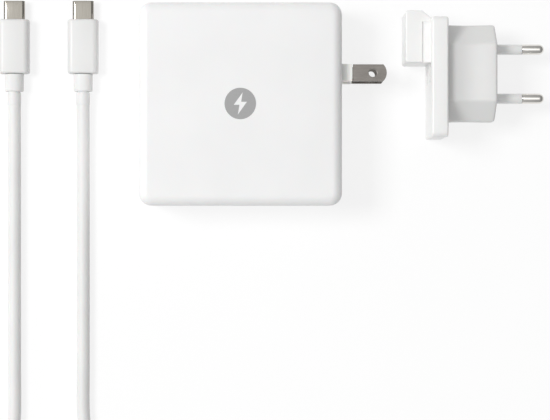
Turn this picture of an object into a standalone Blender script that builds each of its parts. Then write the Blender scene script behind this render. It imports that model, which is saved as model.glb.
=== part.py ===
"""Laptop power adapter: a square USB-C charger with fold-out flat blades, a clip-on
round-pin head that slides over the blades, and a USB-C cable coiled beside them.

Frame: metres, +Z up. The origin is the centre of the charger's underside. +X points to
the side with the blades, and the USB-C port is in the -X side.
"""
import math

import bmesh
import bpy
from mathutils import Matrix
from mathutils import Vector

MM = 0.001
FIT = 0.3 * MM                       # gap left between pieces that touch

# Charger body
BODY_WIDTH = 76.5 * MM               # along X
BODY_DEPTH = 76.5 * MM               # along Y
BODY_HEIGHT = 28.0 * MM
PLAN_CORNER_RADIUS = 4.7 * MM
EDGE_RADIUS = 3.5 * MM
WALL = 2.0 * MM

# Fold-out blades: two flat blades, one above the other, that turn about one upright axis
BLADE_PITCH = 12.7 * MM
BLADE_WIDTH = 6.35 * MM
BLADE_THICKNESS = 1.5 * MM
BLADE_REACH = 17.1 * MM              # tip beyond the side face, blades out
BLADE_TIP_RADIUS = 4.5 * MM
BLADE_HOLE_DIAMETER = 3.2 * MM
BLADE_HOLE_FROM_FACE = 11.8 * MM
BLADE_ROW_Y = 12.1 * MM
SHANK_WIDTH = 3.6 * MM               # the part of a blade held in its collar
COLLAR_REACH = 4.0 * MM
COLLAR_WIDTH = 6.5 * MM
COLLAR_THICKNESS = 3.2 * MM
COLLAR_INSET = 0.6 * MM              # how far folded blades lie below the side face
SPINDLE_RADIUS = 3.2 * MM
PIN_RADIUS = 0.8 * MM
BAY_WALL = 1.0 * MM
BAY_SIDE_ROOM = 0.75 * MM            # beside the collars, top and bottom
BAY_BACK_ROOM = 0.6 * MM             # behind the spindle
SCOOP_LENGTH = 3.5 * MM              # finger room beyond the folded tips

# Block of the clip-on head, and the socket beside the blades that takes it
BLOCK_WIDTH = 19.6 * MM              # along Y
BLOCK_REACH = 9.5 * MM
BLOCK_FROM_COLLAR = 0.45 * MM
BLOCK_END_ROOM = 0.35 * MM
CEILING_ROOM = 0.4 * MM              # cover material kept above the socket's cut-out
NECK_LENGTH = 3.3 * MM
NECK_DEPTH = 0.6 * MM
GUSSET_LENGTH = 4.3 * MM             # solid part of the neck, beside the block's far side

# Clip-on head
HEAD_TRAVEL = 33.25 * MM             # from where it lies to where it is clipped on
PLATE_THICKNESS = 6.3 * MM
PLATE_BELOW_ROW = 24.6 * MM
PLATE_ABOVE_ROW = 20.8 * MM
PLATE_CORNER = 2.0 * MM
PLATE_RIM = 0.8 * MM
PLUG_LENGTH = 18.6 * MM
PLUG_HALF_WIDTH = 18.45 * MM
PLUG_EDGE_HALF_HEIGHT = 3.5 * MM
PLUG_FACET = 7.5 * MM
PLUG_WALL = 1.2 * MM
PLUG_FRONT_WALL = 2.5 * MM
GRIP_DEPTH = 1.1 * MM
SPIGOT_LENGTH = 2.0 * MM
EU_PIN_SPACING = 18.8 * MM
EU_PIN_RADIUS = 2.0 * MM
EU_PIN_LENGTH = 19.0 * MM
EU_NECK_RADIUS = 1.25 * MM
SLEEVE_RADIUS = 1.95 * MM
SLEEVE_LENGTH = 10.4 * MM
FLANGE_RADIUS = 3.2 * MM
FLANGE_THICKNESS = 0.9 * MM
CLIP_LEAF = 0.5 * MM
CLIP_WIDTH = 5.0 * MM
CLIP_ROOM = 0.43 * MM                # between a clip and the plug body's wall

# USB-C port
PORT_WIDTH = 8.94 * MM
PORT_HEIGHT = 3.16 * MM
PORT_SHEET = 0.3 * MM
PORT_DEPTH = 8.0 * MM
TONGUE_WIDTH = 6.7 * MM
TONGUE_THICKNESS = 0.7 * MM

# Inside
BOARD_THICKNESS = 1.6 * MM
BOARD_STANDOFF = 2.0 * MM
BOARD_EDGE_ROOM = 2.2 * MM
SPREADER_THICKNESS = 0.8 * MM
SHEET_THICKNESS = 0.4 * MM
SPRING_SHEET = 0.5 * MM
SPRING_WIDTH = 3.6 * MM
FINGER_HEIGHT = 1.4 * MM
FINGER_WIDTH = 1.6 * MM

# Cable
CABLE_DIAMETER = 5.0 * MM
CABLE_A_X = -88.5 * MM
CABLE_B_X = -61.7 * MM
GRIP_WIDTH = 11.85 * MM
GRIP_HEIGHT = 6.4 * MM
GRIP_FRONT_Y = 34.2 * MM
GRIP_LENGTH = 21.1 * MM
SHELL_LENGTH = 7.4 * MM
SHELL_WIDTH = 8.25 * MM
SHELL_HEIGHT = 2.4 * MM
SHELL_SHEET = 0.3 * MM
RELIEF_LENGTH = 6.4 * MM
RELIEF_RADIUS = 3.2 * MM
SLEEVE_TAIL_LENGTH = 5.5 * MM
SLEEVE_TAIL_RADIUS = 2.8 * MM
COIL_CENTRE = (-75.1 * MM, -185.0 * MM)
COIL_MEAN_RADIUS = 30.0 * MM
COIL_SECTION = 15.0 * MM             # three turns wide and three high
TIE_WIDTH = 9.0 * MM
TIE_THICKNESS = 0.9 * MM

# Worked out from the sizes above
SIDE_X = BODY_WIDTH / 2
SIDE_Y = BODY_DEPTH / 2
MID_Z = BODY_HEIGHT / 2
CEILING = BODY_HEIGHT - WALL
PIVOT_X = SIDE_X - COLLAR_WIDTH / 2 - COLLAR_INSET
PIVOT = Vector((PIVOT_X, BLADE_ROW_Y, MID_Z))
BLADE_TIP = SIDE_X + BLADE_REACH - PIVOT_X        # tip's distance from the pivot
COLLAR_TIP = SIDE_X + COLLAR_REACH - PIVOT_X
BLADE_HEIGHTS = {"upper": MID_Z + BLADE_PITCH / 2, "lower": MID_Z - BLADE_PITCH / 2}
BAY_HALF = BLADE_PITCH / 2 + COLLAR_THICKNESS / 2 + BAY_SIDE_ROOM
BAY_BACK = PIVOT_X - SPINDLE_RADIUS - BAY_BACK_ROOM
BAY_LOW_Y = BLADE_ROW_Y - BLADE_TIP - SCOOP_LENGTH
BLOCK_LOW_Y = BLADE_ROW_Y + COLLAR_WIDTH / 2 + BLOCK_FROM_COLLAR
BLOCK_HIGH_Y = BLOCK_LOW_Y + BLOCK_WIDTH
CUTOUT_HALF = MID_Z - WALL - CEILING_ROOM
SOCKET_HALF = CUTOUT_HALF - FIT - BAY_WALL
BLOCK_HALF = SOCKET_HALF - FIT
SOCKET_BACK = SIDE_X + FIT - BLOCK_REACH - FIT - BLOCK_END_ROOM
PLATE_X = SIDE_X + FIT + HEAD_TRAVEL              # the head's mating face as it lies
PLATE_FRONT = PLATE_X + PLATE_THICKNESS
PLUG_BACK = PLATE_FRONT + FIT
PLUG_FRONT = PLUG_BACK + PLUG_LENGTH
HEAD_AXIS = Vector((PLATE_X, BLADE_ROW_Y, MID_Z))
CLIP_OUTER = BLADE_PITCH / 2 + BLADE_THICKNESS / 2 + FIT + CLIP_LEAF     # from mid-height
PLUG_HALF_HEIGHT = CLIP_OUTER + CLIP_ROOM + GRIP_DEPTH + PLUG_WALL
BOARD_BOTTOM = WALL + BOARD_STANDOFF
BOARD_TOP = BOARD_BOTTOM + BOARD_THICKNESS
PARTS_FLOOR = BOARD_TOP + FIT
BOARD_RIGHT = SOCKET_BACK - BAY_WALL - FIT - BOARD_EDGE_ROOM / 2
PORT_BACK = -SIDE_X + FIT + PORT_DEPTH
OUTPUT_BOARD_X = PORT_BACK + FIT
BOARD_LEFT = OUTPUT_BOARD_X + BOARD_THICKNESS + FIT
CABLE_RADIUS = CABLE_DIAMETER / 2
GRIP_Z = GRIP_HEIGHT / 2


# ------------------------------------------------------------------ scene and materials
for old in list(bpy.data.objects):
    bpy.data.objects.remove(old, do_unlink=True)

pieces = bpy.data.collections.new("laptop_power_adapter")
cutters = bpy.data.collections.new("cutters")
bpy.context.scene.collection.children.link(pieces)
bpy.context.scene.collection.children.link(cutters)


def make_finish(name, colour, roughness, metallic=0.0):
    """One plain Principled material."""
    material = bpy.data.materials.new(name)
    material.use_nodes = True
    shader = material.node_tree.nodes["Principled BSDF"]
    shader.inputs["Base Color"].default_value = (*colour, 1.0)
    shader.inputs["Roughness"].default_value = roughness
    shader.inputs["Metallic"].default_value = metallic
    return material


def body_axis(name, place):
    """Empty on a moving body's joint axis, which the body's pieces are parented to."""
    empty = bpy.data.objects.new(name, None)
    empty.location = place
    empty.empty_display_size = 0.01
    pieces.objects.link(empty)
    return empty


blades_axis = body_axis("us_blades_axis", PIVOT)
head_axis = body_axis("eu_head_axis", HEAD_AXIS)


# ------------------------------------------------------------------ shape functions
def add_piece(name, data, centre, finish, parent=None, turn=(0.0, 0.0, 0.0)):
    """Object with its own material, centred where it belongs in the world."""
    piece = bpy.data.objects.new(name, data)
    piece.rotation_euler = turn
    piece.location = Vector(centre)
    if parent is not None:
        piece.parent = parent
        piece.location = Vector(centre) - parent.location
    pieces.objects.link(piece)
    if finish is not None:
        colour, roughness, metallic = finish
        data.materials.append(make_finish(name + "_finish", colour, roughness, metallic))
    return piece


def mesh_from(name, bm):
    """Mesh datablock from a bmesh, which is freed."""
    mesh = bpy.data.meshes.new(name)
    bm.to_mesh(mesh)
    bm.free()
    return mesh


def box(name, low, high, finish=None, parent=None, upright=0.0, rim=0.0, along=2, steps=3):
    """Box between two corners. Its edges along one axis may be rounded, and then its rims."""
    low = Vector(low)
    high = Vector(high)
    size = high - low
    half = size / 2
    bm = bmesh.new()
    bmesh.ops.create_cube(bm, size=1.0, matrix=Matrix.Diagonal((*size, 1.0)))
    if upright > 0.0:
        edges = []
        for edge in bm.edges:
            span = edge.verts[0].co - edge.verts[1].co
            if abs(span[along]) > half[along]:
                edges.append(edge)
        bmesh.ops.bevel(bm, geom=edges, offset=upright, segments=steps, profile=0.5,
                        affect="EDGES")
    if rim > 0.0:
        edges = []
        for edge in bm.edges:
            ends = [vert.co[along] for vert in edge.verts]
            if abs(ends[0] - ends[1]) < half[along] and abs(abs(ends[0]) - half[along]) < 1e-7:
                edges.append(edge)
        bmesh.ops.bevel(bm, geom=edges, offset=rim, segments=steps, profile=0.5,
                        affect="EDGES")
    return add_piece(name, mesh_from(name, bm), (low + high) / 2, finish, parent)


def rod(name, centre, radius, length, finish=None, parent=None, axis="Z", sides=16):
    """Round bar along one axis."""
    turns = {"X": Matrix.Rotation(math.pi / 2, 4, "Y"), "Y": Matrix.Rotation(math.pi / 2, 4, "X"),
             "Z": Matrix.Identity(4)}
    bm = bmesh.new()
    bmesh.ops.create_cone(bm, cap_ends=True, segments=sides, radius1=radius, radius2=radius,
                          depth=length, matrix=turns[axis])
    piece = add_piece(name, mesh_from(name, bm), centre, finish, parent)
    piece.data.shade_smooth()
    piece.data.set_sharp_from_angle(angle=math.radians(40))
    return piece


def turned(name, profile, place, finish, parent=None, axis="Z", closed=False, sides=16):
    """Turned shape. The profile's points are (radius, height), top to bottom outside."""
    points = [(radius, 0.0, height) for radius, height in profile]
    edges = [(i, i + 1) for i in range(len(points) - 1)]
    if closed:
        edges.append((len(points) - 1, 0))
    mesh = bpy.data.meshes.new(name)
    mesh.from_pydata(points, edges, [])
    turns = {"X": (0.0, math.pi / 2, 0.0), "Y": (-math.pi / 2, 0.0, 0.0), "Z": (0.0, 0.0, 0.0)}
    piece = add_piece(name, mesh, place, finish, parent, turns[axis])
    screw = piece.modifiers.new("turn", "SCREW")
    screw.axis = "Z"
    screw.angle = 2 * math.pi
    screw.steps = sides
    screw.render_steps = sides
    screw.use_merge_vertices = True
    screw.merge_threshold = 0.00001
    return piece


def flat_piece(name, outlines, thickness, centre, finish, parent=None, turn=(0.0, 0.0, 0.0)):
    """Flat piece cut from a sheet: the first outline is its edge, the others are holes."""
    curve = bpy.data.curves.new(name, "CURVE")
    curve.dimensions = "2D"
    curve.fill_mode = "BOTH"
    curve.extrude = thickness / 2
    for outline in outlines:
        spline = curve.splines.new("POLY")
        spline.points.add(len(outline) - 1)
        spline.use_cyclic_u = True
        for point, (across, up) in zip(spline.points, outline):
            point.co = (across, up, 0.0, 1.0)
    return add_piece(name, curve, centre, finish, parent, turn)


def as_mesh(piece):
    """Turns a curve object into a closed mesh object in the same place."""
    bpy.context.view_layer.update()
    evaluated = piece.evaluated_get(bpy.context.evaluated_depsgraph_get())
    mesh = bpy.data.meshes.new_from_object(evaluated)
    bm = bmesh.new()
    bm.from_mesh(mesh)
    bmesh.ops.remove_doubles(bm, verts=bm.verts, dist=1e-6)
    bm.to_mesh(mesh)
    bm.free()
    name = piece.name
    place = piece.matrix_world.copy()
    bpy.data.objects.remove(piece, do_unlink=True)
    solid = bpy.data.objects.new(name, mesh)
    pieces.objects.link(solid)
    solid.matrix_world = place
    return solid


def tube(name, route, radius, finish, sides_level=2):
    """Round tube along a list of points, with filled ends."""
    curve = bpy.data.curves.new(name, "CURVE")
    curve.dimensions = "3D"
    curve.bevel_depth = radius
    curve.bevel_resolution = sides_level
    curve.use_fill_caps = True
    spline = curve.splines.new("POLY")
    spline.points.add(len(route) - 1)
    for point, place in zip(spline.points, route):
        point.co = (*place, 1.0)
    return add_piece(name, curve, (0.0, 0.0, 0.0), finish)


def combine(piece, tool, operation):
    """Cuts a tool from a piece, or joins it on, and puts the tool with the cutters."""
    modifier = piece.modifiers.new(tool.name, "BOOLEAN")
    modifier.operation = operation
    modifier.solver = "EXACT"
    modifier.object = tool
    tool.hide_render = True
    tool.display_type = "WIRE"
    pieces.objects.unlink(tool)
    cutters.objects.link(tool)


def cut(piece, tool):
    combine(piece, tool, "DIFFERENCE")


def join(piece, tool):
    combine(piece, tool, "UNION")


def arc(centre, radius, start, end, count):
    """Points on a circle from one angle to another, in degrees."""
    points = []
    for i in range(count + 1):
        angle = math.radians(start + (end - start) * i / count)
        points.append((centre[0] + radius * math.cos(angle), centre[1] + radius * math.sin(angle)))
    return points


def stadium(width, height, count=6):
    """Outline with straight long sides and half-round ends."""
    radius = height / 2
    reach = width / 2 - radius
    return arc((reach, 0.0), radius, -90, 90, count) + arc((-reach, 0.0), radius, 90, 270, count)


def loft(name, rings, finish=None, parent=None, centre=(0.0, 0.0, 0.0)):
    """Solid through matching rings of points, from the lowest X to the highest."""
    bm = bmesh.new()
    rows = [[bm.verts.new(point) for point in ring] for ring in rings]
    count = len(rows[0])
    for near, far in zip(rows, rows[1:]):
        for i in range(count):
            j = (i + 1) % count
            bm.faces.new((near[i], near[j], far[j], far[i]))
    bm.faces.new(list(reversed(rows[0])))
    bm.faces.new(rows[-1])
    bmesh.ops.recalc_face_normals(bm, faces=bm.faces)
    return add_piece(name, mesh_from(name, bm), centre, finish, parent)


def smooth_route(points, step):
    """Catmull-Rom curve through the points, with a point about every step."""
    spots = [Vector(point) for point in points]
    spots = [2 * spots[0] - spots[1]] + spots + [2 * spots[-1] - spots[-2]]
    route = []
    for i in range(1, len(spots) - 2):
        before, start, end, after = spots[i - 1:i + 3]
        parts = max(1, round((end - start).length / step))
        for k in range(parts):
            t = k / parts
            bend = 2 * start + (end - before) * t
            bend += (2 * before - 5 * start + 4 * end - after) * t * t
            bend += (3 * start - before - 3 * end + after) * t * t * t
            route.append(bend / 2)
    route.append(spots[-2])
    return route


# ------------------------------------------------------------------ finishes
WHITE_PC = ((0.86, 0.86, 0.85), 0.42, 0.0)
GREY_PC = ((0.62, 0.62, 0.61), 0.5, 0.0)
BLACK_PC = ((0.02, 0.02, 0.02), 0.5, 0.0)
NICKEL = ((0.55, 0.53, 0.5), 0.3, 1.0)
COPPER = ((0.7, 0.35, 0.2), 0.35, 1.0)
STEEL = ((0.6, 0.6, 0.6), 0.35, 1.0)
ALUMINIUM = ((0.75, 0.75, 0.76), 0.4, 1.0)
BOARD_GREEN = ((0.03, 0.2, 0.08), 0.5, 0.0)
FERRITE = ((0.05, 0.05, 0.055), 0.7, 0.0)
YELLOW_BOX = ((0.8, 0.6, 0.1), 0.5, 0.0)
BLUE_DISC = ((0.05, 0.15, 0.5), 0.5, 0.0)
FILM = ((0.9, 0.85, 0.6), 0.4, 0.0)
RUBBER_WHITE = ((0.85, 0.85, 0.84), 0.55, 0.0)


# ------------------------------------------------------------------ covers
def cover(name, low_z, high_z):
    """Half of the body: the rounded shell, kept between two heights."""
    shell = box(name, (-SIDE_X, -SIDE_Y, 0.0), (SIDE_X, SIDE_Y, BODY_HEIGHT), WHITE_PC,
                upright=PLAN_CORNER_RADIUS, rim=EDGE_RADIUS, steps=4)
    inside = box(name + "_inside", (-SIDE_X + WALL, -SIDE_Y + WALL, WALL),
                 (SIDE_X - WALL, SIDE_Y - WALL, CEILING),
                 upright=PLAN_CORNER_RADIUS - WALL, rim=EDGE_RADIUS - WALL, steps=2)
    cut(shell, inside)
    beyond = 5 * MM
    away = box(name + "_away", (-SIDE_X - beyond, -SIDE_Y - beyond, low_z),
               (SIDE_X + beyond, SIDE_Y + beyond, high_z))
    cut(shell, away)
    edge = BAY_WALL + FIT
    cut(shell, box(name + "_blade_cutout",
                   (BAY_BACK - edge, BAY_LOW_Y - edge, MID_Z - BAY_HALF - edge),
                   (SIDE_X + beyond, BLOCK_LOW_Y + FIT, MID_Z + BAY_HALF + edge)))
    cut(shell, box(name + "_block_cutout",
                   (SOCKET_BACK - edge, BLOCK_LOW_Y - FIT - edge, MID_Z - CUTOUT_HALF),
                   (SIDE_X + beyond, BLOCK_HIGH_Y + FIT + edge, MID_Z + CUTOUT_HALF)))
    port = flat_piece(name + "_port_hole", [stadium(PORT_WIDTH + 2 * FIT, PORT_HEIGHT + 2 * FIT)],
                      4 * WALL, (-SIDE_X, 0.0, MID_Z), None,
                      turn=(math.pi / 2, 0.0, math.pi / 2))
    cut(shell, as_mesh(port))
    return shell


cover("top_cover", -5 * MM, MID_Z + FIT / 2)
cover("bottom_cover", MID_Z - FIT / 2, BODY_HEIGHT + 5 * MM)


# ------------------------------------------------------------------ plug bay
FINGER_TIP_X = BAY_BACK + FIT

# The tub is moulded long and its front is trimmed to the body's own rounded outline.
PAST_SIDE = 2 * MM

bay = box("plug_bay", (BAY_BACK - BAY_WALL, BAY_LOW_Y - BAY_WALL, MID_Z - BAY_HALF - BAY_WALL),
          (SIDE_X + PAST_SIDE, BLOCK_LOW_Y + FIT, MID_Z + BAY_HALF + BAY_WALL), WHITE_PC)
join(bay, box("socket_walls",
              (SOCKET_BACK - BAY_WALL, BLOCK_LOW_Y - FIT - BAY_WALL, MID_Z - SOCKET_HALF - BAY_WALL),
              (SIDE_X + PAST_SIDE, BLOCK_HIGH_Y + FIT + BAY_WALL, MID_Z + SOCKET_HALF + BAY_WALL)))
cut(bay, box("socket_space", (SOCKET_BACK, BLOCK_LOW_Y - FIT, MID_Z - SOCKET_HALF),
             (SIDE_X + 2 * PAST_SIDE, BLOCK_HIGH_Y + FIT, MID_Z + SOCKET_HALF)))
cut(bay, box("blade_space", (BAY_BACK, BAY_LOW_Y, MID_Z - BAY_HALF),
             (SIDE_X + 2 * PAST_SIDE, BLOCK_LOW_Y + 2 * FIT, MID_Z + BAY_HALF)))
combine(bay, box("bay_trim", (-SIDE_X, -SIDE_Y, 0.0), (SIDE_X, SIDE_Y, BODY_HEIGHT),
                 upright=PLAN_CORNER_RADIUS, rim=EDGE_RADIUS, steps=4), "INTERSECT")
cut(bay, rod("pin_holes", PIVOT, PIN_RADIUS + FIT, 2 * (BAY_HALF + 2 * BAY_WALL), sides=12))

# A nickel-plated strip stands behind the bay for each blade. Its finger passes through a
# window in the bay's back wall and ends just short of the blade's tail. The middle strip
# is the click spring that holds the blades out or folded.
SPRING_X = BAY_BACK - BAY_WALL - FIT - SPRING_SHEET
SPRING_HALF_HEIGHT = 2.2 * MM

for spring_name, spring_z in (("contact_spring_upper", BLADE_HEIGHTS["upper"]),
                              ("detent_spring", MID_Z),
                              ("contact_spring_lower", BLADE_HEIGHTS["lower"])):
    half_width = FINGER_WIDTH / 2
    half_height = FINGER_HEIGHT / 2
    cut(bay, box(spring_name + "_window",
                 (BAY_BACK - 2 * BAY_WALL, BLADE_ROW_Y - half_width - FIT,
                  spring_z - half_height - FIT),
                 (BAY_BACK + FIT, BLADE_ROW_Y + half_width + FIT, spring_z + half_height + FIT)))
    spring = box(spring_name,
                 (SPRING_X, BLADE_ROW_Y - SPRING_WIDTH / 2, spring_z - SPRING_HALF_HEIGHT),
                 (SPRING_X + SPRING_SHEET, BLADE_ROW_Y + half_width, spring_z + SPRING_HALF_HEIGHT),
                 NICKEL)
    join(spring, box(spring_name + "_finger",
                     (SPRING_X + SPRING_SHEET / 2, BLADE_ROW_Y - half_width, spring_z - half_height),
                     (FINGER_TIP_X, BLADE_ROW_Y + half_width - FIT / 3, spring_z + half_height)))

rod("pivot_pin", PIVOT, PIN_RADIUS, 2 * (BAY_HALF + BAY_WALL - FIT), STEEL, sides=12)


# ------------------------------------------------------------------ fold-out blades
CARRIER_HALF = BAY_HALF - 2 * FIT

carrier = rod("blade_carrier", PIVOT, SPINDLE_RADIUS, 2 * CARRIER_HALF, GREY_PC, blades_axis,
              sides=24)
for side, height in BLADE_HEIGHTS.items():
    arm = box("collar_" + side,
              (PIVOT_X, BLADE_ROW_Y - COLLAR_WIDTH / 2, height - COLLAR_THICKNESS / 2),
              (PIVOT_X + COLLAR_TIP, BLADE_ROW_Y + COLLAR_WIDTH / 2, height + COLLAR_THICKNESS / 2),
              parent=blades_axis)
    join(carrier, arm)
for side, height in BLADE_HEIGHTS.items():
    pocket = box("shank_pocket_" + side,
                 (PIVOT_X - 2 * SPINDLE_RADIUS, BLADE_ROW_Y - SHANK_WIDTH / 2 - FIT,
                  height - BLADE_THICKNESS / 2 - FIT),
                 (PIVOT_X + 2 * COLLAR_TIP, BLADE_ROW_Y + SHANK_WIDTH / 2 + FIT,
                  height + BLADE_THICKNESS / 2 + FIT), parent=blades_axis)
    cut(carrier, pocket)
cut(carrier, rod("carrier_bore", PIVOT, PIN_RADIUS + FIT, 4 * CARRIER_HALF, parent=blades_axis,
                 sides=12))


def blade_outline():
    """Round tail about the pivot, narrow shank, shoulder past the collar, arced tip."""
    shank = SHANK_WIDTH / 2
    wide = BLADE_WIDTH / 2
    tail = SPINDLE_RADIUS - FIT
    tail_angle = math.degrees(math.asin(shank / tail))
    shoulder = COLLAR_TIP + FIT
    tip_angle = math.degrees(math.asin(wide / BLADE_TIP_RADIUS))
    outline = arc((0.0, 0.0), tail, 180 - tail_angle, 180 + tail_angle, 4)
    outline += [(shoulder, -shank), (shoulder, -wide)]
    outline += arc((BLADE_TIP - BLADE_TIP_RADIUS, 0.0), BLADE_TIP_RADIUS, -tip_angle, tip_angle, 8)
    outline += [(shoulder, wide), (shoulder, shank)]
    return outline


hole_x = SIDE_X + BLADE_HOLE_FROM_FACE - PIVOT_X
for side, height in BLADE_HEIGHTS.items():
    flat_piece("blade_" + side,
               [blade_outline(), arc((0.0, 0.0), PIN_RADIUS + FIT, 0, 330, 11),
                arc((hole_x, 0.0), BLADE_HOLE_DIAMETER / 2, 0, 337.5, 15)],
               BLADE_THICKNESS, (PIVOT_X, BLADE_ROW_Y, height), NICKEL, blades_axis)


# ------------------------------------------------------------------ clip-on head
def plug_section(x, grip, inset):
    """Eight corners of the plug body's section at one X, pulled in by an inset.

    The grip's hollow pulls the flats in, and the sides by a third as much.
    """
    wide = PLUG_HALF_WIDTH - inset - grip / 3
    high = PLUG_HALF_HEIGHT - inset - grip
    edge = PLUG_EDGE_HALF_HEIGHT - (inset + grip / 3) / 2
    flat = PLUG_HALF_WIDTH - PLUG_FACET - (inset + grip / 3) / 2
    corners = [(flat, high), (-flat, high), (-wide, edge), (-wide, -edge),
               (-flat, -high), (flat, -high), (wide, -edge), (wide, edge)]
    return [(x - PLATE_X, across, up) for across, up in corners]


plate = box("head_base", (PLATE_X, BLADE_ROW_Y - PLATE_BELOW_ROW, 0.0),
            (PLATE_FRONT, BLADE_ROW_Y + PLATE_ABOVE_ROW, BODY_HEIGHT), WHITE_PC, head_axis,
            upright=PLATE_CORNER, rim=PLATE_RIM, along=0)

# The block: entry edges chamfered. Its far side slopes along the neck to the plate's edge.
CHAMFER = 0.4 * MM
SINK = 1.5 * MM                      # how deep joined pieces reach into each other
gusset_foot = min(BLADE_ROW_Y + PLATE_ABOVE_ROW - PLATE_RIM / 4, BLOCK_HIGH_Y)
block_outline = [(-BLOCK_REACH, BLOCK_LOW_Y + CHAMFER), (-BLOCK_REACH + CHAMFER, BLOCK_LOW_Y),
                 (SINK, BLOCK_LOW_Y), (2 * SINK, BLOCK_LOW_Y + SINK),
                 (2 * SINK, gusset_foot - SINK), (SINK, gusset_foot - SINK / 2),
                 (0.0, gusset_foot), (-NECK_LENGTH, BLOCK_HIGH_Y),
                 (-BLOCK_REACH + CHAMFER, BLOCK_HIGH_Y), (-BLOCK_REACH, BLOCK_HIGH_Y - CHAMFER)]
block = as_mesh(flat_piece("head_block", [block_outline], 2 * BLOCK_HALF,
                           (PLATE_X, 0.0, MID_Z), None))
join(plate, block)
for name, sign in (("neck_groove_top", 1), ("neck_groove_bottom", -1)):
    outer = MID_Z + sign * (BLOCK_HALF + SINK)
    inner = MID_Z + sign * (BLOCK_HALF - NECK_DEPTH)
    cut(plate, box(name, (PLATE_X - NECK_LENGTH, BLOCK_LOW_Y - SINK, min(outer, inner)),
                   (PLATE_X, BLOCK_HIGH_Y - GUSSET_LENGTH, max(outer, inner))))
spigot = loft("head_spigot", [plug_section(PLATE_FRONT - SINK, GRIP_DEPTH, PLUG_WALL + FIT),
                              plug_section(PLUG_BACK + SPIGOT_LENGTH, GRIP_DEPTH, PLUG_WALL + FIT)],
              centre=HEAD_AXIS)
join(plate, spigot)
for side, height in BLADE_HEIGHTS.items():
    room_y = COLLAR_WIDTH / 2 + FIT
    room_z = COLLAR_THICKNESS / 2 + FIT
    cut(plate, box("collar_slot_" + side, (PLATE_X - SINK, BLADE_ROW_Y - room_y, height - room_z),
                   (PLATE_X + COLLAR_REACH, BLADE_ROW_Y + room_y, height + room_z)))
    room_y = BLADE_WIDTH / 2 + FIT
    room_z = BLADE_THICKNESS / 2 + FIT
    cut(plate, box("blade_slot_" + side, (PLATE_X, BLADE_ROW_Y - room_y, height - room_z),
                   (PLUG_BACK + SPIGOT_LENGTH + SINK, BLADE_ROW_Y + room_y, height + room_z)))

GRIP_RINGS = 6
EDGE_BREAK = 1.0 * MM
rings = []
for i in range(GRIP_RINGS + 1):
    along_grip = i / GRIP_RINGS
    ring_x = PLUG_BACK + (PLUG_LENGTH - EDGE_BREAK) * along_grip
    rings.append(plug_section(ring_x, GRIP_DEPTH * math.sin(math.pi * along_grip), 0.0))
rings.append(plug_section(PLUG_FRONT, 0.0, EDGE_BREAK))
shell = loft("head_shell", rings, WHITE_PC, head_axis, HEAD_AXIS)
cut(shell, loft("shell_inside", [plug_section(PLUG_BACK - SINK, GRIP_DEPTH, PLUG_WALL),
                                 plug_section(PLUG_FRONT - PLUG_FRONT_WALL, GRIP_DEPTH, PLUG_WALL)],
                centre=HEAD_AXIS))

CLIP_END = PLUG_FRONT - PLUG_FRONT_WALL - FIT - FLANGE_THICKNESS - FIT
CLIP_START = PLUG_BACK + SPIGOT_LENGTH + FIT
STRAP_HALF = 2.0 * MM
RIVET_RADIUS = 1.0 * MM
leaf_gap = BLADE_THICKNESS / 2 + FIT

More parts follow.
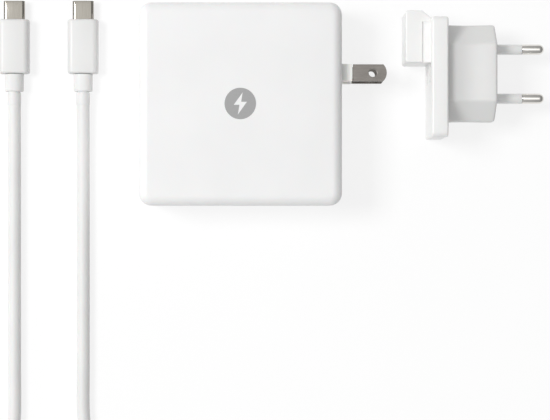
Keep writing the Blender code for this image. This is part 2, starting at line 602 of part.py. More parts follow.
for side, sign in (("upper", 1), ("lower", -1)):
    height = BLADE_HEIGHTS[side]
    pin_y = BLADE_ROW_Y + sign * EU_PIN_SPACING / 2
    wall_hole = rod("pin_hole_" + side, (PLUG_FRONT, pin_y, MID_Z), SLEEVE_RADIUS + FIT,
                    4 * PLUG_FRONT_WALL, axis="X")
    cut(shell, wall_hole)

    # Clip: two leaves beside the blade, joined at the end by a web whose arm runs across
    # and down to the root of the pin.
    low_y = BLADE_ROW_Y - CLIP_WIDTH / 2
    high_y = BLADE_ROW_Y + CLIP_WIDTH / 2
    far_y = pin_y + sign * STRAP_HALF
    clip = box("contact_clip_" + side, (CLIP_START, low_y, height + leaf_gap),
               (CLIP_END, high_y, height + leaf_gap + CLIP_LEAF), COPPER, head_axis)
    join(clip, box("clip_leaf_" + side, (CLIP_START, low_y, height - leaf_gap - CLIP_LEAF),
                   (CLIP_END, high_y, height - leaf_gap)))
    join(clip, box("clip_web_" + side,
                   (CLIP_END - CLIP_LEAF, low_y + FIT, height - leaf_gap - CLIP_LEAF / 2),
                   (CLIP_END + FIT / 2, high_y - FIT, height + leaf_gap + CLIP_LEAF / 2)))
    arm_z = sorted((height - sign * FIT, height - sign * (leaf_gap + CLIP_LEAF)))
    arm_y = sorted((BLADE_ROW_Y, far_y))
    join(clip, box("clip_arm_" + side, (CLIP_END - CLIP_LEAF / 2, arm_y[0], arm_z[0]),
                   (CLIP_END + FIT / 2 - FIT / 6, arm_y[1], arm_z[1])))
    foot_z = sorted((height - sign * 2 * FIT, MID_Z - sign * STRAP_HALF))
    foot_y = sorted((pin_y - sign * STRAP_HALF, far_y))
    join(clip, box("clip_foot_" + side, (CLIP_END - CLIP_LEAF / 2, foot_y[0] + FIT / 6, foot_z[0]),
                   (CLIP_END + FIT / 6, foot_y[1] - FIT / 6, foot_z[1])))
    cut(clip, rod("rivet_hole_" + side, (CLIP_END, pin_y, MID_Z), RIVET_RADIUS + FIT, 4 * MM,
                  axis="X", sides=12))

    # Pin: riveted tail, flange behind the wall, thin neck under the sleeve, round end.
    flange_back = PLUG_FRONT - PLUG_FRONT_WALL - FIT - FLANGE_THICKNESS - PLUG_FRONT
    tip_centre = EU_PIN_LENGTH - EU_PIN_RADIUS
    profile = [(0.0, EU_PIN_LENGTH)]
    profile += [(across, tip_centre + up)
                for across, up in arc((0.0, 0.0), EU_PIN_RADIUS, 70, 0, 4)]
    profile += [(EU_PIN_RADIUS, SLEEVE_LENGTH + FIT), (EU_NECK_RADIUS, SLEEVE_LENGTH + FIT),
                (EU_NECK_RADIUS, flange_back + FLANGE_THICKNESS),
                (FLANGE_RADIUS, flange_back + FLANGE_THICKNESS), (FLANGE_RADIUS, flange_back),
                (RIVET_RADIUS, flange_back), (RIVET_RADIUS, flange_back - 1.6 * MM),
                (0.0, flange_back - 1.6 * MM)]
    turned("eu_pin_" + side, profile, (PLUG_FRONT, pin_y, MID_Z), NICKEL, head_axis, axis="X")
    sleeve_back = flange_back + FLANGE_THICKNESS + FIT
    turned("pin_sleeve_" + side,
           [(SLEEVE_RADIUS, SLEEVE_LENGTH), (SLEEVE_RADIUS, sleeve_back),
            (EU_NECK_RADIUS + FIT, sleeve_back), (EU_NECK_RADIUS + FIT, SLEEVE_LENGTH)],
           (PLUG_FRONT, pin_y, MID_Z), WHITE_PC, head_axis, axis="X", closed=True)


# ------------------------------------------------------------------ USB-C port and boards
port_centre = -SIDE_X + FIT + PORT_DEPTH / 2
flat_piece("usb_c_port_shell",
           [stadium(PORT_WIDTH, PORT_HEIGHT),
            stadium(PORT_WIDTH - 2 * PORT_SHEET, PORT_HEIGHT - 2 * PORT_SHEET)],
           PORT_DEPTH, (port_centre, 0.0, MID_Z), STEEL, turn=(math.pi / 2, 0.0, math.pi / 2))
box("usb_c_port_tongue", (-SIDE_X + 2 * MM, -TONGUE_WIDTH / 2, MID_Z - TONGUE_THICKNESS / 2),
    (PORT_BACK, TONGUE_WIDTH / 2, MID_Z + TONGUE_THICKNESS / 2), BLACK_PC)

SHEET_TOP = CEILING - FIT - SPREADER_THICKNESS - FIT
PARTS_CEILING = SHEET_TOP - SHEET_THICKNESS - FIT
BOARD_HALF_DEPTH = SIDE_Y - WALL - BOARD_EDGE_ROOM
OUTPUT_BOARD_HALF = 14.0 * MM

box("output_board", (OUTPUT_BOARD_X, -OUTPUT_BOARD_HALF, PARTS_FLOOR),
    (OUTPUT_BOARD_X + BOARD_THICKNESS, OUTPUT_BOARD_HALF, PARTS_CEILING - 1 * MM), BOARD_GREEN)
box("main_board", (BOARD_LEFT, -BOARD_HALF_DEPTH, BOARD_BOTTOM),
    (BOARD_RIGHT, BOARD_HALF_DEPTH, BOARD_TOP), BOARD_GREEN)
box("heat_spreader_bottom", (BOARD_LEFT, -BOARD_HALF_DEPTH, WALL + FIT),
    (BOARD_RIGHT, BOARD_HALF_DEPTH, WALL + FIT + SPREADER_THICKNESS), ALUMINIUM)
box("heat_spreader_top", (BOARD_LEFT, -BOARD_HALF_DEPTH, CEILING - FIT - SPREADER_THICKNESS),
    (BOARD_RIGHT, BOARD_HALF_DEPTH, CEILING - FIT), ALUMINIUM)
box("insulation_sheet", (BOARD_LEFT, -BOARD_HALF_DEPTH, SHEET_TOP - SHEET_THICKNESS),
    (BOARD_RIGHT, BOARD_HALF_DEPTH, SHEET_TOP), FILM)


# ------------------------------------------------------------------ parts on the board
# The mains side stands by the board's right edge and the output side by its left edge.
CORE_SIZE = (24 * MM, 12 * MM)
CORE_HEIGHT = 17.0 * MM
CORE_LEG = 6.0 * MM
WINDOW_WIDTH = 5.0 * MM
WINDOW_HEIGHT = 12.0 * MM
CORE_X = -6.0 * MM
CORE_Y = -2.0 * MM

core_mid_z = PARTS_FLOOR + CORE_HEIGHT / 2
core = box("transformer_core", (CORE_X - CORE_SIZE[0] / 2, CORE_Y - CORE_SIZE[1] / 2, PARTS_FLOOR),
           (CORE_X + CORE_SIZE[0] / 2, CORE_Y + CORE_SIZE[1] / 2, PARTS_FLOOR + CORE_HEIGHT),
           FERRITE)
for name, sign in (("core_window_right", 1), ("core_window_left", -1)):
    reach = sorted((CORE_X + sign * CORE_LEG / 2, CORE_X + sign * (CORE_LEG / 2 + WINDOW_WIDTH)))
    cut(core, box(name, (reach[0], CORE_Y - CORE_SIZE[1], core_mid_z - WINDOW_HEIGHT / 2),
                  (reach[1], CORE_Y + CORE_SIZE[1], core_mid_z + WINDOW_HEIGHT / 2)))
winding_reach_x = CORE_LEG / 2 + WINDOW_WIDTH - FIT
winding_reach_y = CORE_SIZE[1] / 2 + WINDOW_WIDTH - FIT
winding = box("transformer_winding",
              (CORE_X - winding_reach_x, CORE_Y - winding_reach_y,
               core_mid_z - WINDOW_HEIGHT / 2 + FIT),
              (CORE_X + winding_reach_x, CORE_Y + winding_reach_y,
               core_mid_z + WINDOW_HEIGHT / 2 - FIT), YELLOW_BOX)
cut(winding, box("winding_hole",
                 (CORE_X - CORE_LEG / 2 - FIT, CORE_Y - CORE_SIZE[1] / 2 - FIT, 0.0),
                 (CORE_X + CORE_LEG / 2 + FIT, CORE_Y + CORE_SIZE[1] / 2 + FIT, BODY_HEIGHT)))

# Choke: a drum of ferrite with its winding between the flanges.
CHOKE_RADIUS = 6.5 * MM
CHOKE_CORE_RADIUS = 3.0 * MM
CHOKE_HEIGHT = 13.0 * MM
CHOKE_FLANGE = 1.8 * MM
choke_place = (BOARD_RIGHT - CHOKE_RADIUS - 4 * MM, CORE_Y, PARTS_FLOOR)
turned("choke_core",
       [(0.0, CHOKE_HEIGHT), (CHOKE_RADIUS, CHOKE_HEIGHT),
        (CHOKE_RADIUS, CHOKE_HEIGHT - CHOKE_FLANGE),
        (CHOKE_CORE_RADIUS, CHOKE_HEIGHT - CHOKE_FLANGE), (CHOKE_CORE_RADIUS, CHOKE_FLANGE),
        (CHOKE_RADIUS, CHOKE_FLANGE), (CHOKE_RADIUS, 0.0), (0.0, 0.0)], choke_place, FERRITE)
turned("choke_winding",
       [(CHOKE_RADIUS - FIT, CHOKE_HEIGHT - CHOKE_FLANGE - FIT),
        (CHOKE_RADIUS - FIT, CHOKE_FLANGE + FIT), (CHOKE_CORE_RADIUS + FIT, CHOKE_FLANGE + FIT),
        (CHOKE_CORE_RADIUS + FIT, CHOKE_HEIGHT - CHOKE_FLANGE - FIT)],
       choke_place, COPPER, closed=True)

CAN_RADIUS = 6.25 * MM
CAN_HEIGHT = 17.0 * MM
can_y = -BOARD_HALF_DEPTH + CAN_RADIUS + 1 * MM
for number, can_x in ((1, CORE_X + 4 * MM), (2, CORE_X + 4 * MM + 2 * CAN_RADIUS + 1 * MM)):
    rod("bulk_capacitor_" + str(number), (can_x, can_y, PARTS_FLOOR + CAN_HEIGHT / 2), CAN_RADIUS,
        CAN_HEIGHT, BLACK_PC)
SMALL_CAN_RADIUS = 4.0 * MM
SMALL_CAN_HEIGHT = 13.0 * MM
for number, sign in ((1, 1), (2, -1)):
    rod("output_capacitor_" + str(number),
        (BOARD_LEFT + SMALL_CAN_RADIUS + 1 * MM, sign * 12 * MM, PARTS_FLOOR + SMALL_CAN_HEIGHT / 2),
        SMALL_CAN_RADIUS, SMALL_CAN_HEIGHT, BLACK_PC, sides=12)


def board_part(name, right, front, size, finish):
    """Block on the main board, placed from the board's right and front edges."""
    high_x = BOARD_RIGHT - right
    low_y = -BOARD_HALF_DEPTH + front
    return box(name, (high_x - size[0], low_y, PARTS_FLOOR),
               (high_x, low_y + size[1], PARTS_FLOOR + size[2]), finish)


back = 2 * BOARD_HALF_DEPTH
board_part("bridge_rectifier", 1 * MM, 1 * MM, (4.5 * MM, 16 * MM, 12 * MM), BLACK_PC)
board_part("x_capacitor", 2 * MM, back - 20 * MM, (12 * MM, 6 * MM, 12 * MM), YELLOW_BOX)
board_part("y_capacitor", 4 * MM, back - 9 * MM, (3 * MM, 7 * MM, 8 * MM), BLUE_DISC)
board_part("fuse", 9 * MM, back - 9 * MM, (4 * MM, 8 * MM, 8 * MM), BLACK_PC)
board_part("controller_chip", 26 * MM, back - 18 * MM, (10 * MM, 6 * MM, 1.6 * MM), BLACK_PC)

SINK_SHEET = 1.5 * MM
SINK_HEIGHT = 16.0 * MM
board_part("heatsink_primary", 16 * MM, back - 1 * MM - SINK_SHEET, (22 * MM, SINK_SHEET, SINK_HEIGHT),
           ALUMINIUM)
board_part("switching_transistor", 22 * MM, back - 1 * MM - SINK_SHEET - FIT - 4.5 * MM,
           (10 * MM, 4.5 * MM, 12 * MM), BLACK_PC)
sink_right = BOARD_RIGHT - BOARD_LEFT - 20 * MM
board_part("heatsink_secondary", sink_right, 1 * MM, (18 * MM, SINK_SHEET, SINK_HEIGHT), ALUMINIUM)

# Mains wires from the contact springs down to the board.
WIRE_RADIUS = 0.8 * MM
wire_x = SPRING_X - FIT
for name, side, foot_y in (("live_wire", "upper", 0.4 * MM), ("neutral_wire", "lower", -4.4 * MM)):
    top = BLADE_HEIGHTS[side]
    knee = max(top, PARTS_FLOOR + 2 * WIRE_RADIUS)
    drop_x = BOARD_RIGHT - 2.4 * MM
    route = [(wire_x, BLADE_ROW_Y, top), (wire_x - WIRE_RADIUS, BLADE_ROW_Y, top),
             (drop_x, BLADE_ROW_Y + foot_y / 2, knee),
             (drop_x, BLADE_ROW_Y + foot_y, (knee + PARTS_FLOOR) / 2),
             (drop_x, BLADE_ROW_Y + foot_y, PARTS_FLOOR)]
    tube(name, route, WIRE_RADIUS, BLACK_PC)


# ------------------------------------------------------------------ cable ends
TAIL_Y = GRIP_FRONT_Y - GRIP_LENGTH - FIT - RELIEF_LENGTH - SLEEVE_TAIL_LENGTH

for end, plug_x in (("a", CABLE_A_X), ("b", CABLE_B_X)):
    box("plug_grip_" + end, (plug_x - GRIP_WIDTH / 2, GRIP_FRONT_Y - GRIP_LENGTH, 0.0),
        (plug_x + GRIP_WIDTH / 2, GRIP_FRONT_Y, GRIP_HEIGHT), RUBBER_WHITE,
        upright=GRIP_HEIGHT * 0.42, rim=0.8 * MM, along=1)
    flat_piece("plug_shell_" + end,
               [stadium(SHELL_WIDTH, SHELL_HEIGHT),
                stadium(SHELL_WIDTH - 2 * SHELL_SHEET, SHELL_HEIGHT - 2 * SHELL_SHEET)],
               SHELL_LENGTH - FIT, (plug_x, GRIP_FRONT_Y + FIT / 2 + SHELL_LENGTH / 2, GRIP_Z),
               STEEL, turn=(math.pi / 2, 0.0, 0.0))
    insert = box("plug_insert_" + end,
                 (plug_x - SHELL_WIDTH / 2 + SHELL_HEIGHT / 2, GRIP_FRONT_Y + FIT,
                  GRIP_Z - SHELL_HEIGHT / 2 + SHELL_SHEET + FIT / 2),
                 (plug_x + SHELL_WIDTH / 2 - SHELL_HEIGHT / 2, GRIP_FRONT_Y + SHELL_LENGTH - 0.6 * MM,
                  GRIP_Z + SHELL_HEIGHT / 2 - SHELL_SHEET - FIT / 2), BLACK_PC)
    cut(insert, box("insert_mouth_" + end,
                    (plug_x - SHELL_WIDTH / 2 + 2 * SHELL_HEIGHT / 3, GRIP_FRONT_Y + 2 * MM,
                     GRIP_Z - TONGUE_THICKNESS / 2),
                    (plug_x + SHELL_WIDTH / 2 - 2 * SHELL_HEIGHT / 3, GRIP_FRONT_Y + 2 * SHELL_LENGTH,
                     GRIP_Z + TONGUE_THICKNESS / 2)))
    turned("strain_relief_" + end,
           [(0.0, RELIEF_LENGTH), (RELIEF_RADIUS, RELIEF_LENGTH), (RELIEF_RADIUS, 0.5 * MM),
            (SLEEVE_TAIL_RADIUS, 0.0), (SLEEVE_TAIL_RADIUS - 0.1 * MM, -SLEEVE_TAIL_LENGTH),
            (0.0, -SLEEVE_TAIL_LENGTH)],
           (plug_x, GRIP_FRONT_Y - GRIP_LENGTH - FIT - RELIEF_LENGTH, GRIP_Z), RUBBER_WHITE,
           axis="Y")


# ------------------------------------------------------------------ cable and coil
# Each lead leaves its strain relief, lies down on the table, runs straight towards -Y and
# bends outwards to meet the coil from the side.
LEAD_A = [(-88.5, 0.6, 3.2), (-88.5, -10.0, 2.8), (-88.5, -26.0, 2.52), (-88.5, -50.0, 2.52),
          (-88.5, -75.0, 2.52), (-88.5, -100.0, 2.52), (-88.6, -122.0, 2.52),
          (-90.6, -131.0, 2.52), (-95.2, -140.5, 2.52), (-101.2, -149.0, 2.52),
          (-106.2, -156.5, 2.52), (-108.6, -163.4, 2.52)]
LEAD_B = [(-61.7, 0.6, 3.2), (-61.7, -10.0, 2.8), (-61.7, -26.0, 2.52), (-61.7, -50.0, 2.52),
          (-61.7, -75.0, 2.52), (-61.7, -100.0, 2.52), (-61.6, -120.0, 2.52),
          (-59.6, -129.0, 2.52), (-54.4, -139.0, 2.52), (-46.6, -150.0, 2.52),
          (-40.6, -160.5, 2.52), (-38.0, -169.4, 2.52)]

for name, points in (("cable_lead_a", LEAD_A), ("cable_lead_b", LEAD_B)):
    place = [(x * MM, y * MM, z * MM) for x, y, z in points]
    tube(name, smooth_route(place, 2.4 * CABLE_DIAMETER), CABLE_RADIUS, RUBBER_WHITE)

half_section = COIL_SECTION / 2
coil_round = 2.0 * MM
coil_profile = [(COIL_MEAN_RADIUS + across, half_section + up)
                for across, up in (arc((half_section - coil_round, half_section - coil_round),
                                       coil_round, 90, 0, 2)
                                   + arc((half_section - coil_round, coil_round - half_section),
                                         coil_round, 0, -90, 2)
                                   + arc((coil_round - half_section, coil_round - half_section),
                                         coil_round, 270, 180, 2)
                                   + arc((coil_round - half_section, half_section - coil_round),
                                         coil_round, 180, 90, 2))]
coil_place = (COIL_CENTRE[0], COIL_CENTRE[1], 0.0)
coil = turned("cable_coil", coil_profile, coil_place, RUBBER_WHITE, closed=True, sides=40)

# The tie squeezes the turns, so the coil is waisted under it.
TIE_ROOM = TIE_THICKNESS + FIT
tie_y = COIL_CENTRE[1] - COIL_MEAN_RADIUS
tie_frames = {}
for name, width, inset in (("coil_waist", TIE_WIDTH + 2 * FIT, TIE_ROOM),
                           ("cable_tie", TIE_WIDTH, TIE_THICKNESS)):
    grow = 2 * MM if name == "coil_waist" else 0.0
    low = (COIL_CENTRE[0] - width / 2, tie_y - half_section - grow, -grow)
    high = (COIL_CENTRE[0] + width / 2, tie_y + half_section + grow, COIL_SECTION + grow)
    finish = GREY_PC if name == "cable_tie" else None
    frame = box(name, low, high, finish)
    cut(frame, box(name + "_inside",
                   (low[0] - 1 * MM, tie_y - half_section + inset, inset),
                   (high[0] + 1 * MM, tie_y + half_section - inset, COIL_SECTION - inset)))
    tie_frames[name] = frame
cut(coil, tie_frames["coil_waist"])
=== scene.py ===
"""A square white USB-C charger with a fold-out mains plug, its clip-on mains head and its cable.

Each section makes one piece, or one group of like pieces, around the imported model, in metres.
"""
import math

import bpy
import numpy as np
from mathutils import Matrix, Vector


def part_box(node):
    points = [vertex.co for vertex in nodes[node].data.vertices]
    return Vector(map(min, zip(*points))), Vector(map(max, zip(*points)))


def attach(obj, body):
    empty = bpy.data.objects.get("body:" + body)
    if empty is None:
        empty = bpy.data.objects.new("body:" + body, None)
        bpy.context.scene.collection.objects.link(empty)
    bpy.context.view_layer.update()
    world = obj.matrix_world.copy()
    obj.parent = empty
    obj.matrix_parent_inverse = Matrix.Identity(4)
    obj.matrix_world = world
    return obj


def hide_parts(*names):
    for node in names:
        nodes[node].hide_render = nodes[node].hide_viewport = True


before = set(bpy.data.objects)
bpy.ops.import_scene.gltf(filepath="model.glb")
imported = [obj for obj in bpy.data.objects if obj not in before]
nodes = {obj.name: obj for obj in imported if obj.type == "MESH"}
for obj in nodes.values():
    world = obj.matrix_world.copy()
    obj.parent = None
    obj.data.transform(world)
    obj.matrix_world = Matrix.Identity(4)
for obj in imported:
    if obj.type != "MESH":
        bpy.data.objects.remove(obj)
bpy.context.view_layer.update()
MM = 0.001


# ---- Table, light and camera -----------------------------------------------------------------
# A light table of opal acrylic, whose glow from below leaves only faint shadows, under a soft lamp
# on the left and a wide, weak panel overhead. The camera looks straight down from 0.65 m.

def linear(hex_colour):
    """An sRGB hex colour as linear red, green, blue and alpha."""
    srgb = np.array([int(hex_colour[i:i + 2], 16) for i in (1, 3, 5)]) / 255
    channels = np.where(srgb <= 0.04045, srgb / 12.92, ((srgb + 0.055) / 1.055) ** 2.4)
    return (*channels.tolist(), 1.0)


def add(tree, kind, inputs=None, **settings):
    """Adds a node. An input that is a socket is linked to it, and any other value is set."""
    node = tree.nodes.new("ShaderNode" + kind)
    for name, value in settings.items():
        setattr(node, name, value)
    for name, value in (inputs or {}).items():
        if isinstance(value, bpy.types.NodeSocket):
            tree.links.new(value, node.inputs[name])
        else:
            node.inputs[name].default_value = value
    return node


def begin_material(name):
    """A new empty material, its node tree, and the piece's own coordinates in metres."""
    material = bpy.data.materials.new(name)
    material.use_nodes = True
    material.node_tree.nodes.clear()
    place = add(material.node_tree, "TexCoord").outputs["Object"]
    return material, material.node_tree, place


def surface(tree, sockets, tones=None, rough=None, bump=None):
    """Ends a material with a Principled shader that has these sockets set or linked. tones is a
    pattern, its darkest and lightest colour, and where on the pattern those lie. rough is a
    pattern and the roughness at its low and high end. bump is a pattern, how strongly it shows
    and how high it stands."""
    sockets = dict(sockets)
    if tones:
        pattern, dark, light, *span = tones
        ramp = add(tree, "ValToRGB", {"Fac": pattern})
        for stop, at, colour in zip(ramp.color_ramp.elements, span or (0.0, 1.0), (dark, light)):
            stop.position = at
            stop.color = linear(colour)
        sockets["Base Color"] = ramp.outputs["Color"]
    if rough:
        spread = add(tree, "MapRange", dict(zip(("Value", "To Min", "To Max"), rough)))
        sockets["Roughness"] = spread.outputs["Result"]
    if bump:
        relief = add(tree, "Bump", dict(zip(("Height", "Strength", "Distance"), bump)))
        sockets["Normal"] = relief.outputs["Normal"]
    shader = add(tree, "BsdfPrincipled", sockets)
    add(tree, "OutputMaterial", {"Surface": shader.outputs["BSDF"]})


def make_piece(name, points, faces, material, body=None, slot=None, replaces=(), sharp=35):
    """A mesh object from arrays of points and faces. Edges over sharp degrees stay crisp."""
    mesh = bpy.data.meshes.new(name)
    mesh.from_pydata(np.asarray(points, float).tolist(), [], [list(map(int, f)) for f in faces])
    mesh.validate()
    mesh.polygons.foreach_set("use_smooth", np.ones(len(mesh.polygons), bool))
    mesh.set_sharp_from_angle(angle=math.radians(sharp))
    mesh.materials.append(material)
    piece = bpy.data.objects.new(name, mesh)
    bpy.context.scene.collection.objects.link(piece)
    if body:
        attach(piece, body)
    if replaces:
        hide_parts(*replaces)
    return piece


TABLE_HALF = 3.0
TABLE_Z = -0.0002
# Opal acrylic: white and matt, lit evenly from below, with a drift in tone over some 40 mm.
opal_acrylic, tree, place = begin_material("lit_opal_acrylic")
drift = add(tree, "TexNoise", {"Vector": place, "Scale": 1 / 0.04, "Detail": 3.0})
surface(tree, {"Roughness": 0.9, "Specular IOR Level": 0.1, "Emission Color": linear("#FFFFFF"),
               "Emission Strength": 0.755}, tones=(drift.outputs["Fac"], "#838383", "#868686"))
table = make_piece("light_table", [(-TABLE_HALF, -TABLE_HALF, TABLE_Z),
                                   (TABLE_HALF, -TABLE_HALF, TABLE_Z),
                                   (TABLE_HALF, TABLE_HALF, TABLE_Z),
                                   (-TABLE_HALF, TABLE_HALF, TABLE_Z)],
                   [(0, 1, 2, 3)], opal_acrylic)


def add_lamp(name, place_at, aim_at, size, power, tint="#FFFFFF"):
    """A square area lamp at a point, turned to face another."""
    lamp = bpy.data.objects.new(name, bpy.data.lights.new(name, "AREA"))
    bpy.context.scene.collection.objects.link(lamp)
    lamp.data.size = size
    lamp.data.energy = power
    lamp.data.color = linear(tint)[:3]
    lamp.location = place_at
    lamp.rotation_euler = (Vector(aim_at) - Vector(place_at)).to_track_quat("-Z", "Y").to_euler()
    return lamp


add_lamp("soft_window", (-0.76, 0.16, 1.2), (0.0, 0.0, 0.0), 0.45, 11.3)
add_lamp("overhead_panel", (0.0, 0.0, 1.6), (0.0, 0.0, 0.0), 1.2, 3.8)

# The room is brighter on the lamp's side: its strength falls in a straight line along X.
world = bpy.data.worlds.new("bright_studio")
bpy.context.scene.world = world
world.use_nodes = True
world.node_tree.nodes.clear()
toward = add(world.node_tree, "TexCoord").outputs["Generated"]
split = add(world.node_tree, "SeparateXYZ", {"Vector": toward})
room_light = add(world.node_tree, "MapRange", {"Value": split.outputs["X"], "From Min": -1.0,
                                               "From Max": 1.0, "To Min": 0.64, "To Max": 0.24})
room = add(world.node_tree, "Background", {"Color": linear("#FFFFFF"),
                                           "Strength": room_light.outputs["Result"]})
add(world.node_tree, "OutputWorld", {"Surface": room.outputs["Background"]})
bpy.context.scene.view_settings.view_transform = "Standard"

CAMERA_AT = (0.013, -0.0399, 0.650)
camera = bpy.data.objects.new("camera", bpy.data.cameras.new("camera"))
bpy.context.scene.collection.objects.link(camera)
camera.location = CAMERA_AT
camera.rotation_euler = (0.0, 0.0, 0.0)
camera.data.sensor_width = 36.0
camera.data.lens = 108.7
camera.data.clip_start = 0.01
bpy.context.scene.camera = camera


# ---- USB-C cable -----------------------------------------------------------------------------
# A round 5 mm cable: a soft matt white TPE jacket extruded over the cores. Both ends run down
# from their plugs along the table, and the rest is wound into a coil held by a strap.

CABLE_RADIUS = 2.5 * MM
LEAD_A = [(-88.5, 2.4, 3.2), (-88.5, -10, 2.8), (-88.5, -26, 2.52), (-88.5, -50, 2.52),
          (-88.5, -75, 2.52), (-88.5, -100, 2.52), (-88.6, -122, 2.52), (-90.6, -131, 2.52),
          (-95.2, -140.5, 2.52), (-101.2, -149, 2.52), (-106.2, -156.5, 2.52),
          (-108.6, -163.4, 2.52), (-109.8, -174, 2.52)]
LEAD_B = [(-61.7, 2.4, 3.2), (-61.7, -10, 2.8), (-61.7, -26, 2.52), (-61.7, -50, 2.52),
          (-61.7, -75, 2.52), (-61.7, -100, 2.52), (-61.6, -120, 2.52), (-59.6, -129, 2.52),
          (-54.4, -139, 2.52), (-46.6, -150, 2.52), (-40.6, -160.5, 2.52),
          (-38.0, -169.4, 2.52), (-35.9, -177, 2.52)]
COIL_CENTRE = (-75.1, -185.0)
COIL_TURNS = 7.5
POINTS_PER_TURN = 24
TURN_PITCH = 5.0                     # millimetres from one turn to the one beside or on it
PATH_STEPS = 5                       # points along each stretch of the smoothed route
CABLE_SIDES = 28
# Where each turn lies in the bundle: its radius and its height, in millimetres.
TURN_CELLS = np.array([(35, 2.5), (30, 2.5), (25, 2.5), (25, 7.5), (30, 7.5), (30, 12.5),
                       (35, 12.5), (35, 7.5)])
CROSSING = 0.3                       # the part of a turn in which the cable steps to its next cell
LAST_DROP = 0.3                      # the part of a turn in which it leaves the bundle
STRAP_ANGLE = -90.0                  # where the strap pulls the bundle together
STRAP_SPREAD = 20.0
STRAP_SQUEEZE = 0.12
BUNDLE_MIDDLE = np.array((30.0, 7.5))


def smooth_step(x):
    """0 below 0, 1 above 1, and a smooth S between: three x squared less two x cubed."""
    x = np.clip(x, 0.0, 1.0)
    return x * x * (3 - 2 * x)


def coil_points():
    """The coil: the angle grows with t from 180 degrees, and the radius and height step smoothly
    from one cell of the bundle to the next near the end of each turn."""
    t = np.linspace(0, COIL_TURNS, int(COIL_TURNS * POINTS_PER_TURN) + 1)
    turn = np.minimum(np.floor(t).astype(int), len(TURN_CELLS) - 1)
    following = np.minimum(turn + 1, len(TURN_CELLS) - 1)
    step = smooth_step((t - turn - (1 - CROSSING)) / CROSSING)[:, None]
    cell = TURN_CELLS[turn] * (1 - step) + TURN_CELLS[following] * step
    angle = 180.0 + 360.0 * t
    from_strap = np.abs((angle - STRAP_ANGLE + 180) % 360 - 180) / STRAP_SPREAD
    pull = STRAP_SQUEEZE * np.exp(-from_strap ** 2)[:, None]
    cell = cell + (BUNDLE_MIDDLE - cell) * pull
    # The last stretch rolls over the outermost lower turn, down to the table beside it.
    drop = smooth_step((t - (COIL_TURNS - LAST_DROP)) / LAST_DROP) * math.pi / 2
    radius = cell[:, 0] + TURN_PITCH * np.sin(drop)
    height = cell[:, 1] + TURN_PITCH * (np.cos(drop) - 1)
    radians = np.radians(angle)
    return np.column_stack([COIL_CENTRE[0] + radius * np.cos(radians),
                            COIL_CENTRE[1] + radius * np.sin(radians), height])


def smooth_path(points, steps):
    """A Catmull-Rom curve: between two points it is the cubic that leaves and arrives along the
    line between each point's neighbours. Returns steps points for each stretch."""
    p = np.vstack([2 * points[0] - points[1], points, 2 * points[-1] - points[-2]])
    u = (np.arange(steps) / steps)[None, :, None]
    a, b, c, d = (p[i:len(p) - 3 + i, None, :] for i in range(4))
    curve = 0.5 * (2 * b + (c - a) * u + (2 * a - 5 * b + 4 * c - d) * u ** 2
                   + (3 * b - 3 * c + d - a) * u ** 3)
    return np.vstack([curve.reshape(-1, 3), points[-1]])


def unit(vectors):
    """Vectors scaled to length one."""
    return vectors / np.linalg.norm(vectors, axis=-1, keepdims=True)


def sweep(path, radius, sides):
    """A round tube: each ring lies across the path's direction, which never points straight up,
    so its first axis is level and its second is square to that and to the path."""
    along = unit(np.gradient(path, axis=0))
    level = unit(np.cross(along, (0.0, 0.0, 1.0)))
    upward = np.cross(level, along)
    a = np.linspace(0, 2 * math.pi, sides, endpoint=False)
    ring = (np.cos(a)[None, :, None] * level[:, None] + np.sin(a)[None, :, None] * upward[:, None])
    return path[:, None] + ring * radius


def skin(rings, first_pole=False, last_pole=False):
    """Points and faces of a closed skin over rings of equal length. Each end is closed by a flat
    face, or by a fan to its middle point where it has a pole."""
    rings = np.asarray(rings, float)
    rows, columns = rings.shape[:2]
    points = rings.reshape(-1, 3)
    r, c = np.meshgrid(np.arange(rows - 1), np.arange(columns), indexing="ij")
    after = (c + 1) % columns
    faces = np.stack([r * columns + c, r * columns + after, (r + 1) * columns + after,
                      (r + 1) * columns + c], -1).reshape(-1, 4).tolist()
    start = np.arange(columns)
    finish_row = start + (rows - 1) * columns
    for row, pole, flip in ((start, first_pole, True), (finish_row, last_pole, False)):
        if pole:
            middle = len(points)
            points = np.vstack([points, points[row].mean(0)])
            fan = np.stack([row, np.roll(row, -1), np.full(columns, middle)], -1)
            faces += (fan[:, ::-1] if flip else fan).tolist()
        else:
            faces.append((row[::-1] if flip else row).tolist())
    return points, faces


def outward(points, faces):
    """Turns every face of a closed skin round if the volume that it holds comes out negative."""
    points = np.asarray(points, float)
    volume = 0.0
    for f in faces:
        fan = points[list(f)]
        volume += np.einsum("ij,ij->", np.cross(fan[1:-1], fan[2:]),
                            np.broadcast_to(fan[0], (len(fan) - 2, 3)))
    return points, [list(f)[::-1] for f in faces] if volume < 0 else faces


# TPE jacket: soft, matt, slightly waxy, so its shading is broad with a weak, wide highlight.
# The extruder leaves a fine grain of about 0.15 mm, drawn at 0.4 mm so that it shows.
tpe_jacket, tree, place = begin_material("extruded_tpe_white")
grain = add(tree, "TexNoise", {"Vector": place, "Scale": 1 / (0.4 * MM), "Detail": 2.0})
smudge = add(tree, "TexNoise", {"Vector": place, "Scale": 1 / (30 * MM), "Detail": 2.0})
surface(tree, {"Roughness": 0.52, "IOR": 1.48, "Subsurface Weight": 0.06,
               "Subsurface Scale": 1.5 * MM},
        tones=(smudge.outputs["Fac"], "#DFDFDE", "#E5E5E4", 0.3, 0.7),
        bump=(grain.outputs["Fac"], 0.12, 0.05 * MM))

route = np.vstack([LEAD_A, coil_points(), LEAD_B[::-1]]) * MM
cable_path = smooth_path(route, PATH_STEPS)
cable = make_piece("usb_c_cable", *outward(*skin(sweep(cable_path, CABLE_RADIUS, CABLE_SIDES))),
                   tpe_jacket, "charger", "cable_jacket",
                   ("cable_lead_a", "cable_coil", "cable_lead_b"))


